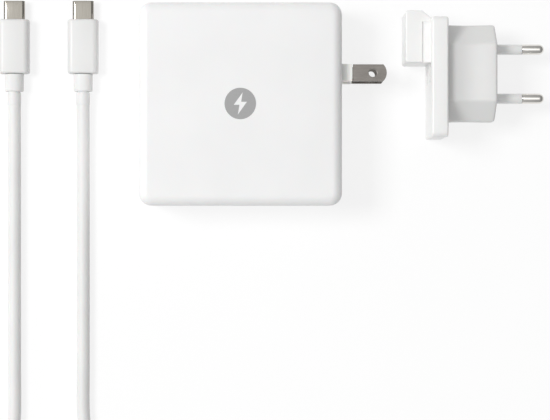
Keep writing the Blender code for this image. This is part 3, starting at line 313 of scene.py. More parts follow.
# ---- Plugs on the cable ----------------------------------------------------------------------
# Each end: a white polycarbonate grip over the boards, a drawn stainless steel shell with its
# contact insert, and a soft strain relief moulded over the jacket, with a short round tail.

PLUG_ENDS = {"a": -88.5 * MM, "b": -61.7 * MM}
PLUG_Z = 3.2 * MM
GRIP_HALF = (5.925 * MM, 3.2 * MM)
GRIP_Y = (13.1 * MM, 34.2 * MM)
GRIP_RADIUS = 2.1 * MM
GRIP_RIM = 0.8 * MM
SHELL_HALF = (4.125 * MM, 1.2 * MM)
SHELL_Y = (33.6 * MM, 41.45 * MM)
SHELL_SHEET = 0.3 * MM
SHELL_RIM = 0.15 * MM
SHELL_RIM_STEPS = 4
# Distance along the cable, half width and half height, in millimetres: the oval relief, a groove
# that lets it bend, and the round tail.
RELIEF = [(12.9, 3.72, 3.12), (12.5, 3.72, 3.12), (9.8, 3.70, 3.12), (7.0, 3.68, 3.12),
          (6.5, 3.66, 3.1), (6.3, 3.55, 3.0), (6.22, 3.3, 2.85), (6.2, 2.5, 2.5),
          (6.15, 2.3, 2.3), (5.65, 2.3, 2.3), (5.6, 2.45, 2.45), (5.5, 2.6, 2.6),
          (3.5, 2.62, 2.62), (1.2, 2.62, 2.62), (0.95, 2.56, 2.56), (0.9, 2.42, 2.42),
          (1.3, 2.3, 2.3)]
ARC_STEPS = 8


def one_pattern(name, size, detail, tones, sockets, rough=(), bump=(), distortion=0.0,
                stretch=None):
    """A material in which one noise pattern of this size does all: it runs through the tones, and
    where they are given it also varies the roughness and stands up as a relief. A stretch below
    one along an axis draws the pattern out that way, as brushing does."""
    material, tree, place = begin_material(name)
    if stretch:
        place = add(tree, "Mapping", {"Vector": place, "Scale": stretch}).outputs["Vector"]
    pattern = add(tree, "TexNoise", {"Vector": place, "Scale": 1 / size, "Detail": detail,
                                     "Distortion": distortion}).outputs["Fac"]
    surface(tree, sockets, (pattern, *tones), rough and (pattern, *rough),
            bump and (pattern, *bump))
    return material


def rounded_outline(half_wide, half_high, radius, steps=ARC_STEPS):
    """A rectangle with round corners, counter-clockwise: each quarter turn is a corner's centre
    plus the radius times the direction. Returns two columns."""
    radius = min(radius, half_wide, half_high)
    turn = np.linspace(0, math.pi / 2, steps + 1)
    angles = (turn[None] + np.arange(4)[:, None] * math.pi / 2).ravel()
    side_u = np.repeat([1, -1, -1, 1], steps + 1)
    side_v = np.repeat([1, 1, -1, -1], steps + 1)
    return np.column_stack([side_u * (half_wide - radius) + radius * np.cos(angles),
                            side_v * (half_high - radius) + radius * np.sin(angles)])


def across(axis, outlines, distances, centre=(0.0, 0.0)):
    """Rings square to an axis (0 for X, 1 for Y, 2 for Z): each flat outline is moved by the
    centre and laid at its distance along the axis."""
    return np.array([np.insert(o + np.asarray(centre), axis, d, axis=1)
                     for o, d in zip(outlines, distances)])


def rounded_ends(low, high, rim, steps=ARC_STEPS):
    """Distances along a bar and how far its outline is drawn in there: a quarter circle at each
    end, so the edge is round."""
    turn = np.linspace(0, math.pi / 2, steps + 1)
    drawn_in = rim * (1 - np.sin(turn))
    travel = rim * (1 - np.cos(turn))
    return (np.concatenate([low + travel, high - travel[::-1]]),
            np.concatenate([drawn_in, drawn_in[::-1]]))


# What every white polycarbonate piece gets from its resin: a high index and a slight depth.
POLYCARBONATE = {"IOR": 1.585, "Subsurface Weight": 0.05, "Subsurface Scale": 1.0 * MM}

# Moulded polycarbonate: satin, with a sharp but weak highlight, and a spark-eroded mould grain
# of about 0.1 mm, drawn at 0.35 mm so that it shows.
white_grip, tree, place = begin_material("satin_polycarbonate_white")
grain = add(tree, "TexNoise", {"Vector": place, "Scale": 1 / (0.35 * MM), "Detail": 2.0})
flow = add(tree, "TexNoise", {"Vector": place, "Scale": 1 / (18 * MM), "Detail": 2.0})
surface(tree, {**POLYCARBONATE, "Roughness": 0.38},
        tones=(flow.outputs["Fac"], "#D9D9D8", "#DDDDDC"),
        bump=(grain.outputs["Fac"], 0.08, 0.04 * MM))

# Stainless steel, drawn and tumbled: warm grey, and brushed lightly along the plug, with streaks
# of about 0.1 mm, drawn at 0.25 mm so that they show.
drawn_steel = one_pattern("drawn_stainless_steel", 0.25 * MM, 3.0,
                          ("#9B978F", "#A39F97", 0.3, 0.7), {"Metallic": 1.0},
                          rough=(0.12, 0.17), bump=(0.04, 0.03 * MM), stretch=(1.0, 0.04, 1.0))

# Glass-filled black nylon: dark, matt, with fibre specks of about 0.2 mm.
black_nylon = one_pattern("glass_filled_nylon_black", 0.2 * MM, 3.0,
                          ("#141414", "#262626", 0.0, 0.75), {"Roughness": 0.55, "IOR": 1.53},
                          bump=(0.2, 0.03 * MM))


def finish_node(name, material):
    """Gives a CAD piece its material."""
    nodes[name].data.materials.clear()
    nodes[name].data.materials.append(material)
    return nodes[name]


grip_y, grip_in = rounded_ends(*GRIP_Y, GRIP_RIM)
shell_out_y, shell_out_in = rounded_ends(*SHELL_Y, SHELL_RIM, SHELL_RIM_STEPS)
inner_half = (SHELL_HALF[0] - SHELL_SHEET, SHELL_HALF[1] - SHELL_SHEET)
cable_pieces = []
for end, plug_x in PLUG_ENDS.items():
    middle = (plug_x, PLUG_Z)
    outlines = [rounded_outline(GRIP_HALF[0] - d, GRIP_HALF[1] - d, GRIP_RADIUS - 0.6 * d)
                for d in grip_in]
    grip = make_piece("plug_grip_skin_" + end,
                      *outward(*skin(across(1, outlines, grip_y, middle))),
                      white_grip, "charger", "white_polycarbonate", ("plug_grip_" + end,))
    outlines = [rounded_outline(SHELL_HALF[0] - d, SHELL_HALF[1] - d, SHELL_HALF[1])
                for d in shell_out_in]
    outlines += [rounded_outline(*inner_half, inner_half[1])] * 2
    distances = np.append(shell_out_y, (SHELL_Y[1] - SHELL_SHEET / 2, GRIP_Y[1] + 0.1 * MM))
    shell = make_piece("plug_shell_skin_" + end,
                       *outward(*skin(across(1, outlines, distances, middle))),
                       drawn_steel, "charger", "stainless_steel", ("plug_shell_" + end,))
    outlines = [rounded_outline(wide * MM, high * MM, high * MM) for _, wide, high in RELIEF]
    distances = [y * MM for y, _, _ in RELIEF]
    relief = make_piece("strain_relief_skin_" + end,
                        *outward(*skin(across(1, outlines, distances, middle))),
                        tpe_jacket, "charger", "cable_jacket", ("strain_relief_" + end,))
    insert = finish_node("plug_insert_" + end, black_nylon)
    cable_pieces += [grip, shell, relief, insert]


# ---- Cable strap -----------------------------------------------------------------------------
# A narrow hook-and-loop strap once round the bundle, of woven grey nylon with a looped outside.
# It is one closed band here, without the lap where a real one's end is pressed down.

STRAP_HALF = 7.45 * MM
STRAP_THICK = 0.9 * MM
STRAP_HALF_WIDE = 4.5 * MM
STRAP_CORNER = 5.0 * MM
STRAP_CENTRE = (COIL_CENTRE[1] * MM - 30 * MM, 7.5 * MM)

# The bands of a wave pattern lie pi / 10 over its scale apart, and on a diagonal twice as far.

# Loop tape: a soft nap that scatters light at its edges, over a weave of 0.6 mm.
loop_tape, tree, place = begin_material("nylon_loop_tape_grey")
weave = add(tree, "TexWave", {"Vector": place, "Scale": 1 / (2 * math.pi * 0.6 * MM) * 2,
                              "Distortion": 1.5, "Detail": 2.0}, bands_direction="X")
nap = add(tree, "TexNoise", {"Vector": place, "Scale": 1 / (0.3 * MM), "Detail": 4.0})
tape_height = add(tree, "Math", {0: weave.outputs["Fac"], 1: nap.outputs["Fac"]}, operation="ADD")
surface(tree, {"Roughness": 0.9, "IOR": 1.53, "Sheen Weight": 0.4, "Sheen Roughness": 0.5},
        tones=(nap.outputs["Fac"], "#B9BBBD", "#D6D7D8", 0.3, 0.7),
        bump=(tape_height.outputs["Value"], 0.5, 0.12 * MM))


def loop(rings):
    """Points and faces of a skin over rings of equal length that closes on itself both ways: the
    last ring joins the first."""
    rings = np.asarray(rings, float)
    rows, columns = rings.shape[:2]
    r, c = np.meshgrid(np.arange(rows), np.arange(columns), indexing="ij")
    below, after = (r + 1) % rows, (c + 1) % columns
    faces = np.stack([r * columns + c, r * columns + after, below * columns + after,
                      below * columns + c], -1).reshape(-1, 4)
    return rings.reshape(-1, 3), faces.tolist()


def strap_rings():
    """The strap's section, which runs across X outside and back inside with a small round at each
    edge: each of its points is carried round a rounded square in Y and Z."""
    edge = STRAP_THICK * 0.3
    near = [(0.0, edge - STRAP_HALF_WIDE), (edge * 0.3, edge * 0.3 - STRAP_HALF_WIDE),
            (edge, -STRAP_HALF_WIDE), (STRAP_THICK - edge, -STRAP_HALF_WIDE),
            (STRAP_THICK, edge - STRAP_HALF_WIDE)]
    section = near + [(depth, -x) for depth, x in reversed(near)]
    outlines = [rounded_outline(STRAP_HALF - depth, STRAP_HALF - depth, STRAP_CORNER - depth)
                for depth, _ in section]
    return across(0, outlines, [COIL_CENTRE[0] * MM + x for _, x in section], STRAP_CENTRE)


strap = make_piece("cable_strap", *outward(*loop(strap_rings())), loop_tape, "charger",
                   "hook_and_loop", ("cable_tie",))
cable_pieces.append(strap)


# ---- Charger covers --------------------------------------------------------------------------
# Two deep white polycarbonate covers, injection moulded with a 2 mm wall and a fine matt mould
# grain, and welded edge to edge round the middle. Openings in them take the bay and the port.

BODY_HALF = 38.25 * MM
BODY_HEIGHT = 28.0 * MM
BODY_CORNER = 4.7 * MM
BODY_RIM = 3.5 * MM
BODY_WALL = 2.0 * MM
SEAM_Z = BODY_HEIGHT / 2
SEAM_GAP = 0.15 * MM                 # from the seam's middle to each cover's lip
LIP_BREAK = 0.25 * MM                # the small round on the outside of each lip
RIM_STEPS = 12
TOP_MIDDLE = 0.97 * BODY_HALF        # the flat top's innermost ring, measured in from the side
TOP_RING = 20 * MM
RIM_LEAD = BODY_RIM + 0.4 * MM       # the flat top's outermost ring, just inside the rim
CORNER_STEPS = 12
LEAST_CORNER = 0.2 * MM


def quarter(radius, steps):
    """Depth and drop round a quarter circle, from its flat top to its upright side."""
    turn = np.linspace(0, math.pi / 2, steps + 1)
    return np.column_stack([radius * (1 - np.sin(turn)), radius * (1 - np.cos(turn))])


def cover_stations():
    """Depth from the outline and drop from the top, from the outside's middle over the rim, down
    the side, round the lip, and up the inside to the inside's middle."""
    outer_rim = quarter(BODY_RIM, RIM_STEPS)
    inner_rim = quarter(BODY_RIM - BODY_WALL, RIM_STEPS // 2) + BODY_WALL
    lip_drop = BODY_HEIGHT / 2 - SEAM_GAP
    lip = np.array([(0.0, lip_drop - LIP_BREAK), (LIP_BREAK * 0.3, lip_drop - LIP_BREAK * 0.3),
                    (LIP_BREAK, lip_drop), (BODY_WALL, lip_drop)])
    flat = np.array([TOP_MIDDLE, TOP_RING, RIM_LEAD])
    crown = np.column_stack([flat, np.zeros(3)])
    floor = np.column_stack([flat[::-1], np.full(3, BODY_WALL)])
    return np.vstack([crown, outer_rim, lip, inner_rim[::-1], floor])


def combine(piece, operation, *tools):
    """Joins the tools' solids to a piece, or takes them out of it, for good, and removes them."""
    for tool in tools:
        step = piece.modifiers.new(tool.name, "BOOLEAN")
        step.operation = operation
        step.solver = "EXACT"
        step.object = tool
    bpy.context.view_layer.update()
    ready = piece.evaluated_get(bpy.context.evaluated_depsgraph_get())
    combined = bpy.data.meshes.new_from_object(ready)
    piece.modifiers.clear()
    combined.name = piece.name
    piece.data = combined
    combined.set_sharp_from_angle(angle=math.radians(35))
    for tool in tools:
        bpy.data.objects.remove(tool)


def block(name, low, high, material):
    """A plain box between two corners, only as a tool to cut with."""
    low, high = np.array(low), np.array(high)
    middle, half = (low + high) / 2, (high - low) / 2
    signs = np.array([(-1, -1), (1, -1), (1, 1), (-1, 1)])
    rings = across(2, [signs * half[:2]] * 2, (low[2], high[2]), middle[:2])
    return make_piece(name, *outward(*skin(rings)), material)


# Grained polycarbonate: white with a touch of grey, nearly matt, and its highlight is broken up
# by a spark-eroded grain of about 0.1 mm, drawn at 0.5 mm so that it shows. Flow during moulding
# leaves a very weak cloudiness some 25 mm across.
grained_pc, tree, place = begin_material("grained_polycarbonate_white")
grain = add(tree, "TexNoise", {"Vector": place, "Scale": 1 / (0.5 * MM), "Detail": 3.0})
cloud = add(tree, "TexNoise", {"Vector": place, "Scale": 1 / (25 * MM), "Detail": 2.0})
surface(tree, POLYCARBONATE,
        tones=(cloud.outputs["Fac"], "#EAEAEA", "#EDEDED", 0.3, 0.7),
        rough=(grain.outputs["Fac"], 0.42, 0.56), bump=(grain.outputs["Fac"], 0.1, 0.05 * MM))

BLADE_OPENING = ((29.3 * MM, -13.65 * MM, 4.0 * MM), (42 * MM, 16.1 * MM, 24.0 * MM))
BLOCK_OPENING = ((27.1 * MM, 14.2 * MM, 2.4 * MM), (42 * MM, 37.0 * MM, 25.6 * MM))
PORT_HALF = (4.77 * MM, 1.88 * MM)
PORT_CUT_X = (-42 * MM, -34 * MM)
for side in ("top", "bottom"):
    stations = cover_stations()
    heights = BODY_HEIGHT - stations[:, 1] if side == "top" else stations[:, 1]
    outlines = [rounded_outline(BODY_HALF - d, BODY_HALF - d, max(BODY_CORNER - d, LEAST_CORNER),
                                CORNER_STEPS) for d in stations[:, 0]]
    rings = across(2, outlines, heights)
    cover = make_piece(side + "_cover_skin",
                       *outward(*skin(rings, first_pole=True, last_pole=True)),
                       grained_pc, "charger", "white_polycarbonate", (side + "_cover",))
    port = rounded_outline(PORT_HALF[1], PORT_HALF[0], PORT_HALF[1])
    port_rings = across(0, [port[:, ::-1]] * 2, PORT_CUT_X, (0.0, SEAM_Z))
    combine(cover, "DIFFERENCE", block("cut_blades", *BLADE_OPENING, grained_pc),
            block("cut_block", *BLOCK_OPENING, grained_pc),
            make_piece("cut_port", *outward(*skin(port_rings)), grained_pc))


# ---- Printed mark ----------------------------------------------------------------------------
# A plain grey disc with a lightning bolt left clear in it, pad printed in the middle of the top
# cover, and only some hundredths of a millimetre thick.

MARK_RADIUS = 5.9 * MM
MARK_THICK = 0.03 * MM
MARK_LIFT = 0.012 * MM
BOLT = np.array([(0.9, 4.2), (-2.5, -0.5), (-0.35, -0.5), (-0.95, -4.2), (2.5, 0.65),
                 (0.35, 0.65)]) * MM
BOLT_SIDE_POINTS = 16

# Pad-printing ink: mid grey, silky, with a mottle of about 0.3 mm from the mould grain under it.
grey_ink = one_pattern("pad_printed_grey_ink", 0.3 * MM, 2.0, ("#989898", "#A6A6A6"),
                       {"Roughness": 0.45, "IOR": 1.5})

mark_low = BODY_HEIGHT + MARK_LIFT
mark_high = mark_low + MARK_THICK
side_share = (np.arange(BOLT_SIDE_POINTS) / BOLT_SIDE_POINTS)[None, :, None]
bolt_edge = (BOLT[:, None] * (1 - side_share)
             + np.roll(BOLT, -1, axis=0)[:, None] * side_share).reshape(-1, 2)
disc_edge = unit(bolt_edge) * MARK_RADIUS
# The disc's skin goes round its rim and in to the bolt's edge, at the top and at the bottom.
mark_rings = across(2, (disc_edge, disc_edge, bolt_edge, bolt_edge),
                    (mark_low, mark_high, mark_high, mark_low))
make_piece("printed_mark", *outward(*loop(mark_rings)), grey_ink, "charger",
           "white_polycarbonate")


# ---- Plug bay --------------------------------------------------------------------------------
# The moulded tub in the charger's side: smooth white polycarbonate. The blades' carrier folds
# into its long part, and the mains head's block pushes into its square part.

# Smooth polycarbonate, from a polished mould: the same white with a sharper highlight. Small
# sink marks some 8 mm across make the highlight wander.
smooth_pc, tree, place = begin_material("smooth_polycarbonate_white")
sink = add(tree, "TexNoise", {"Vector": place, "Scale": 1 / (8 * MM), "Detail": 2.0})
fine = add(tree, "TexNoise", {"Vector": place, "Scale": 1 / (0.4 * MM), "Detail": 2.0})
surface(tree, POLYCARBONATE,
        tones=(sink.outputs["Fac"], "#EBEBEA", "#F0F0EF"), rough=(fine.outputs["Fac"], 0.28, 0.38),
        bump=(sink.outputs["Fac"], 0.05, 0.3 * MM))


def soften(name, width, segments=3, angle=30):
    """Rounds a CAD piece's edges: its triangles are joined, and each edge steeper than the angle
    gets a small round."""
    piece = nodes[name]
    weld = piece.modifiers.new("join", "WELD")
    weld.merge_threshold = 0.00001
    edge = piece.modifiers.new("edges", "BEVEL")
    edge.width = width
    edge.segments = segments
    edge.limit_method = "ANGLE"
    edge.angle_limit = math.radians(angle)
    edge.harden_normals = False
    return piece


finish_node("plug_bay", smooth_pc)
soften("plug_bay", 0.2 * MM)


# ---- Fold-out blades -------------------------------------------------------------------------
# Two flat US blades, stamped from nickel-plated brass, moulded into a pale nylon carrier
# that turns on a steel pin. Each spring contact in the bay ends just short of its blade's tail.

# Nickel plate over stamped brass: warm dark grey, with fine lengthwise rolling marks of about
# 0.05 mm, drawn at 0.2 mm so that they show, and small wear marks from sockets.
nickel_plate, tree, place = begin_material("nickel_plated_brass")
stretch = add(tree, "Mapping", {"Vector": place, "Scale": (0.05, 1.0, 1.0)})
rolling = add(tree, "TexNoise", {"Vector": stretch.outputs["Vector"], "Scale": 1 / (0.2 * MM),
                                 "Detail": 3.0})
wear = add(tree, "TexNoise", {"Vector": place, "Scale": 1 / (5 * MM), "Detail": 4.0})
nickel_mix = add(tree, "Math", {0: rolling.outputs["Fac"], 1: wear.outputs["Fac"]},
                 operation="MULTIPLY")
surface(tree, {"Metallic": 1.0},
        tones=(nickel_mix.outputs["Value"], "#787470", "#8A8681", 0.12, 0.45),
        rough=(wear.outputs["Fac"], 0.22, 0.36), bump=(rolling.outputs["Fac"], 0.12, 0.02 * MM))

# Natural nylon: translucent off-white, a bit greyer than the covers, with a waxy highlight.
natural_nylon = one_pattern("moulded_nylon_natural", 3 * MM, 3.0, ("#EBEAE7", "#F2F1EE"),
                            {"Roughness": 0.42, "IOR": 1.53, "Subsurface Weight": 0.12,
                             "Subsurface Scale": 1.5 * MM},
                            bump=(0.06, 0.1 * MM), distortion=0.5)

for blade in ("blade_upper", "blade_lower"):
    finish_node(blade, nickel_plate)
    soften(blade, 0.22 * MM, angle=40)
finish_node("blade_carrier", natural_nylon)
soften("blade_carrier", 0.2 * MM)

# Spring steel, ground and bright: a cold grey with fine scratches of about 0.2 mm.
spring_steel = one_pattern("bright_spring_steel", 0.2 * MM, 4.0, ("#A9ABAD", "#C4C5C6"),
                           {"Metallic": 1.0}, rough=(0.22, 0.36), distortion=1.0)

# Phosphor bronze strip: reddish gold, rolled, with a slight tarnish in patches of 2 mm.
bronze_strip = one_pattern("rolled_phosphor_bronze", 2 * MM, 4.0, ("#B87F55", "#D6A172"),
                           {"Metallic": 1.0}, rough=(0.38, 0.2))

finish_node("pivot_pin", spring_steel)
finish_node("detent_spring", spring_steel)
for spring in ("contact_spring_upper", "contact_spring_lower"):
    finish_node(spring, bronze_strip)


# ---- USB-C port ------------------------------------------------------------------------------
# The receptacle in the charger's left side: a drawn steel shell on its own small board, with a
# black nylon tongue that carries the contacts.

PORT_SHELL_X = (-37.95 * MM, -29.95 * MM)
port_low, port_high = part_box("usb_c_port_shell")
port_half = ((port_high.y - port_low.y) / 2, (port_high.z - port_low.z) / 2)
port_middle = ((port_low.y + port_high.y) / 2, (port_low.z + port_high.z) / 2)
PORT_SHEET = 0.3 * MM
LIP = 0.12 * MM


depths = (0.0, 0.0, LIP * 0.3, LIP, PORT_SHEET - LIP, PORT_SHEET, PORT_SHEET)
distances = (PORT_SHELL_X[1], PORT_SHELL_X[0] + LIP, PORT_SHELL_X[0] + LIP * 0.3, PORT_SHELL_X[0],
             PORT_SHELL_X[0], PORT_SHELL_X[0] + LIP, PORT_SHELL_X[1] - 1.0 * MM)
outlines = [rounded_outline(port_half[0] - d, port_half[1] - d, port_half[1] - d) for d in depths]
make_piece("port_shell_skin", *outward(*skin(across(0, outlines, distances, port_middle))),
           drawn_steel, "charger", "stainless_steel", ("usb_c_port_shell",))
finish_node("usb_c_port_tongue", black_nylon)


# ---- Clip-on mains head ----------------------------------------------------------------------
# White polycarbonate: a base moulded in one, with a plate that lies on the charger's side and a
# block that plugs into its bay, and a plug body pressed on to it, hollowed on its flats for grip.

PLATE_FRONT = 78.1 * MM
HEAD_MIDDLE = (12.1 * MM, 14.0 * MM)
PLUG_BACK = 78.4 * MM
PLUG_LENGTH = 18.6 * MM
PLUG_HALF = (18.45 * MM, 10.5 * MM)
PLUG_EDGE_HALF = 3.5 * MM
PLUG_FACET = 7.5 * MM
PLUG_ROUND = 2.2 * MM                # radius of the eight long edges
FRONT_ROUND = 0.9 * MM
HOLLOW = 1.1 * MM
FRONT_BOW = 0.35 * MM                # how far the front face's middle stands out
WALL = 1.2 * MM
FRONT_WALL = 2.5 * MM
PIN_Y = (2.7 * MM, 21.5 * MM)
PIN_HOLE = 2.15 * MM                 # radius
DRILL_REACH = (-6 * MM, 4 * MM)      # behind and ahead of the front face
DRILL_SIDES = 48
BODY_STATIONS = 25                   # rings along the outside
INNER_ROUND = 0.5 * MM               # radius of the long edges inside, and of the spigot's
BOW_START = 0.7                      # the bow sets in over this part of the length
BOW_SPAN = 0.3
POLE_SHARE = 0.05                    # size of each flat face's smallest ring
SPIGOT_ROOM = 0.3 * MM


def rounded_polygon(corners, radius, steps=6):
    """A polygon, counter-clockwise, with each corner swept by a circle: the tangent points lie
    radius / tan(half the corner) along its sides, and the arc between them is a smooth blend
    along both sides' directions."""
    corners = np.asarray(corners, float)
    to_last = unit(np.roll(corners, 1, axis=0) - corners)
    to_next = unit(np.roll(corners, -1, axis=0) - corners)
    half_angle = np.arccos(np.clip((to_last * to_next).sum(1), -1, 1)) / 2
    reach = (radius / np.tan(half_angle))[:, None]
    centre = corners + unit(to_last + to_next) * (radius / np.sin(half_angle))[:, None]
    first = corners + to_last * reach - centre
    last = corners + to_next * reach - centre
    sweep_angle = (math.pi - 2 * half_angle)[:, None]
    share = np.linspace(0, 1, steps + 1)[None, :]
    weights = (np.sin((1 - share) * sweep_angle) / np.sin(sweep_angle),
               np.sin(share * sweep_angle) / np.sin(sweep_angle))
    arcs = weights[0][:, :, None] * first[:, None] + weights[1][:, :, None] * last[:, None]
    return (centre[:, None] + arcs).reshape(-1, 2)


def plug_outline(hollow, inset, radius):
    """The plug body's outline across its length: an octagon, twice as wide as it is high, drawn
    in by the inset, with its flats let in by the hollow and its sides by a tenth of that."""
    wide = PLUG_HALF[0] - inset - hollow / 10
    high = PLUG_HALF[1] - inset - hollow
    edge = PLUG_EDGE_HALF - (inset + hollow / 3) / 2
    flat = PLUG_HALF[0] - PLUG_FACET - (inset + hollow / 3) / 2
    corners = [(wide, -edge), (wide, edge), (flat, high), (-flat, high), (-wide, edge),
               (-wide, -edge), (-flat, -high), (flat, -high)]
    return rounded_polygon(corners, radius)


def bowed(ring, amount):
    """A ring's points moved along X by the amount times one less the square of how far out they
    are across the plug, so that an edge across it is a shallow arc."""
    out = np.clip(np.abs(ring[:, 1] - HEAD_MIDDLE[0]) / PLUG_HALF[0], 0, 1)
    ring = ring.copy()
    ring[:, 0] += amount * (1 - out ** 2)
    return ring


def plug_ring(x, hollow, inset, radius, bow=0.0):
    """One ring of the plug body at a distance along X."""
    o = plug_outline(hollow, inset, radius)
    ring = across(0, [o], [x], HEAD_MIDDLE)[0]
    return bowed(ring, bow) if bow else ring


# Polycarbonate from an etched mould: duller than the base, with the etching of about 0.15 mm
# drawn at 0.4 mm so that it shows. Its white is painted greyer than the base's: painted shade
# over the whole plug body.
etched_pc_painted_shade, tree, place = begin_material("etched_polycarbonate_painted_shade")
etching = add(tree, "TexNoise", {"Vector": place, "Scale": 1 / (0.4 * MM), "Detail": 2.0})
body_flow = add(tree, "TexNoise", {"Vector": place, "Scale": 1 / (12 * MM), "Detail": 2.0})
surface(tree, {**POLYCARBONATE, "Roughness": 0.45},
        tones=(body_flow.outputs["Fac"], "#DADAD9", "#DFDFDE"),
        bump=(etching.outputs["Fac"], 0.1, 0.04 * MM))

share = np.linspace(0, 1, BODY_STATIONS)
body_length = PLUG_LENGTH - FRONT_ROUND - FRONT_BOW
outside = [plug_ring(PLUG_BACK + body_length * s, HOLLOW * math.sin(math.pi * s ** 0.85) ** 1.5,
                     0.0, PLUG_ROUND, FRONT_BOW * smooth_step((s - BOW_START) / BOW_SPAN))
           for s in share]
edge_turn = np.linspace(0, math.pi / 2, 8)[1:]
nose_x = PLUG_BACK + body_length
outside += [plug_ring(nose_x + FRONT_ROUND * math.sin(a), 0.0, FRONT_ROUND * (1 - math.cos(a)),
                      PLUG_ROUND, FRONT_BOW) for a in edge_turn]
outside += [plug_ring(nose_x + FRONT_ROUND, 0.0, FRONT_ROUND + d, max(PLUG_ROUND - d, 0.3 * MM),
                      FRONT_BOW) for d in (0.4 * MM, 2.0 * MM)]
inside_x = np.linspace(PLUG_BACK + PLUG_LENGTH - FRONT_WALL, PLUG_BACK, 12)
inside = [plug_ring(x, HOLLOW, WALL, INNER_ROUND) for x in inside_x]

# One skin runs from the front's middle over the outside, round the back edge and up the inside.
front_middle, inner_middle = (ring * POLE_SHARE + ring.mean(0) * (1 - POLE_SHARE)
                              for ring in (outside[-1], inside[0]))
shell_rings = np.array([front_middle, *outside[::-1], *inside[::-1], inner_middle])
# The plug body gets the greyer white: painted shade.
head_shell = make_piece("plug_body_skin",
                        *outward(*skin(shell_rings, first_pole=True, last_pole=True)),
                        etched_pc_painted_shade, "eu_head", "white_polycarbonate", ("head_shell",), sharp=40)


def turned_rings(profile, place_at, sides):
    """Rings turned round a line along X: each station has its distance along it and a radius."""
    a = np.linspace(0, 2 * math.pi, sides, endpoint=False)
    return np.array([np.column_stack([np.full(sides, place_at[0] + x), place_at[1] + r * np.cos(a),
                                      place_at[2] + r * np.sin(a)]) for x, r in profile])


drill_profile = [(x, PIN_HOLE) for x in DRILL_REACH]
drills = []
for y in PIN_Y:
    rings = turned_rings(drill_profile, (PLUG_BACK + PLUG_LENGTH, y, HEAD_MIDDLE[1]), DRILL_SIDES)
    drills.append(make_piece("drill", *outward(*skin(rings)), smooth_pc))
combine(head_shell, "DIFFERENCE", *drills)

# The base: the plate and the block are joined, then grooved and slotted.
PLATE_BACK = 71.8 * MM
PLATE_Y = (-12.5 * MM, 32.9 * MM)
PLATE_HALF_HIGH = 14.0 * MM
PLATE_CORNER = 2.0 * MM
PLATE_RIM = 0.8 * MM
BLOCK_HALF_HIGH = 10.0 * MM
BLOCK_PLAN = np.array([(62.3, 15.8), (73.3, 15.8), (73.3, 31.5), (68.5, 35.4), (62.3, 35.4)]) * MM
BLOCK_EDGE = 0.45 * MM
NECK_BACK = 68.5 * MM
NECK_DEPTH = 0.6 * MM
NECK_Y = (14.3 * MM, 31.1 * MM)
BLADE_HEIGHTS = (20.35 * MM, 7.65 * MM)
BLADE_ROW_Y = 12.1 * MM
COLLAR_SLOT = (75.8 * MM, 3.55 * MM, 1.9 * MM)     # its end along X, half width, half height
BLADE_SLOT = (90.0 * MM, 3.475 * MM, 1.05 * MM)
CLEAR = 1.5 * MM                                   # how far a cutting tool stands past a face

plate_x, plate_in = rounded_ends(PLATE_BACK, PLATE_FRONT, PLATE_RIM)
plate_half_wide = (PLATE_Y[1] - PLATE_Y[0]) / 2
plate_centre = ((PLATE_Y[0] + PLATE_Y[1]) / 2, HEAD_MIDDLE[1])
plate_outlines = [rounded_outline(plate_half_wide - d, PLATE_HALF_HIGH - d, PLATE_CORNER - d)
                  for d in plate_in]
head_base = make_piece("head_base_skin",
                       *outward(*skin(across(0, plate_outlines, plate_x, plate_centre))),
                       smooth_pc, "eu_head", "white_polycarbonate", ("head_base",))

block_z, block_in = rounded_ends(HEAD_MIDDLE[1] - BLOCK_HALF_HIGH,
                                 HEAD_MIDDLE[1] + BLOCK_HALF_HIGH, BLOCK_EDGE)
plan = rounded_polygon(BLOCK_PLAN, 2 * BLOCK_EDGE)
heading = unit(np.roll(plan, -1, axis=0) - np.roll(plan, 1, axis=0))
inward = np.column_stack([-heading[:, 1], heading[:, 0]])
block_rings = across(2, [plan + inward * d for d in block_in], block_z)
head_block = make_piece("head_block", *outward(*skin(block_rings)), smooth_pc)
spigot_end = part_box("head_base")[1].x
head_spigot = make_piece("head_spigot", *outward(*skin(
    [plug_ring(x, HOLLOW, WALL + SPIGOT_ROOM, INNER_ROUND)
     for x in (PLATE_FRONT - CLEAR, spigot_end)])), smooth_pc)
combine(head_base, "UNION", head_block, head_spigot)

tools = []
for sign in (1, -1):
    levels = sorted(HEAD_MIDDLE[1] + sign * h for h in (BLOCK_HALF_HIGH - NECK_DEPTH,
                                                        BLOCK_HALF_HIGH + CLEAR))
    tools.append(block("neck_groove", (NECK_BACK, NECK_Y[0], levels[0]),
                       (PLATE_BACK, NECK_Y[1], levels[1]), smooth_pc))
for height in BLADE_HEIGHTS:
    for start_x, (end_x, wide, high) in ((PLATE_BACK - CLEAR, COLLAR_SLOT),
                                         (PLATE_BACK, BLADE_SLOT)):
        tools.append(block("blade_slot", (start_x, BLADE_ROW_Y - wide, height - high),
                           (end_x, BLADE_ROW_Y + wide, height + high), smooth_pc))
combine(head_base, "DIFFERENCE", *tools)

for clip in ("contact_clip_upper", "contact_clip_lower"):
    finish_node(clip, bronze_strip)


# ---- Round pins ------------------------------------------------------------------------------
# Two 4 mm pins, turned from brass and nickel plated, with ball ends. White insulating sleeves
# are moulded round the rear part of each, flush with the metal.

PIN_RADIUS = 2.0 * MM
PIN_TIP_X = 116.0 * MM
SLEEVE_END_X = 107.4 * MM
ROOT_RADIUS = 3.0 * MM
ROOT_LENGTH = 0.9 * MM
NECK_RADIUS = 1.5 * MM
SLEEVE_RADIUS = 1.95 * MM
SLEEVE_BORE = 1.6 * MM
EDGE = 0.05 * MM                     # a step of the small rounds where metal and sleeve meet
PIN_SIDES = 64

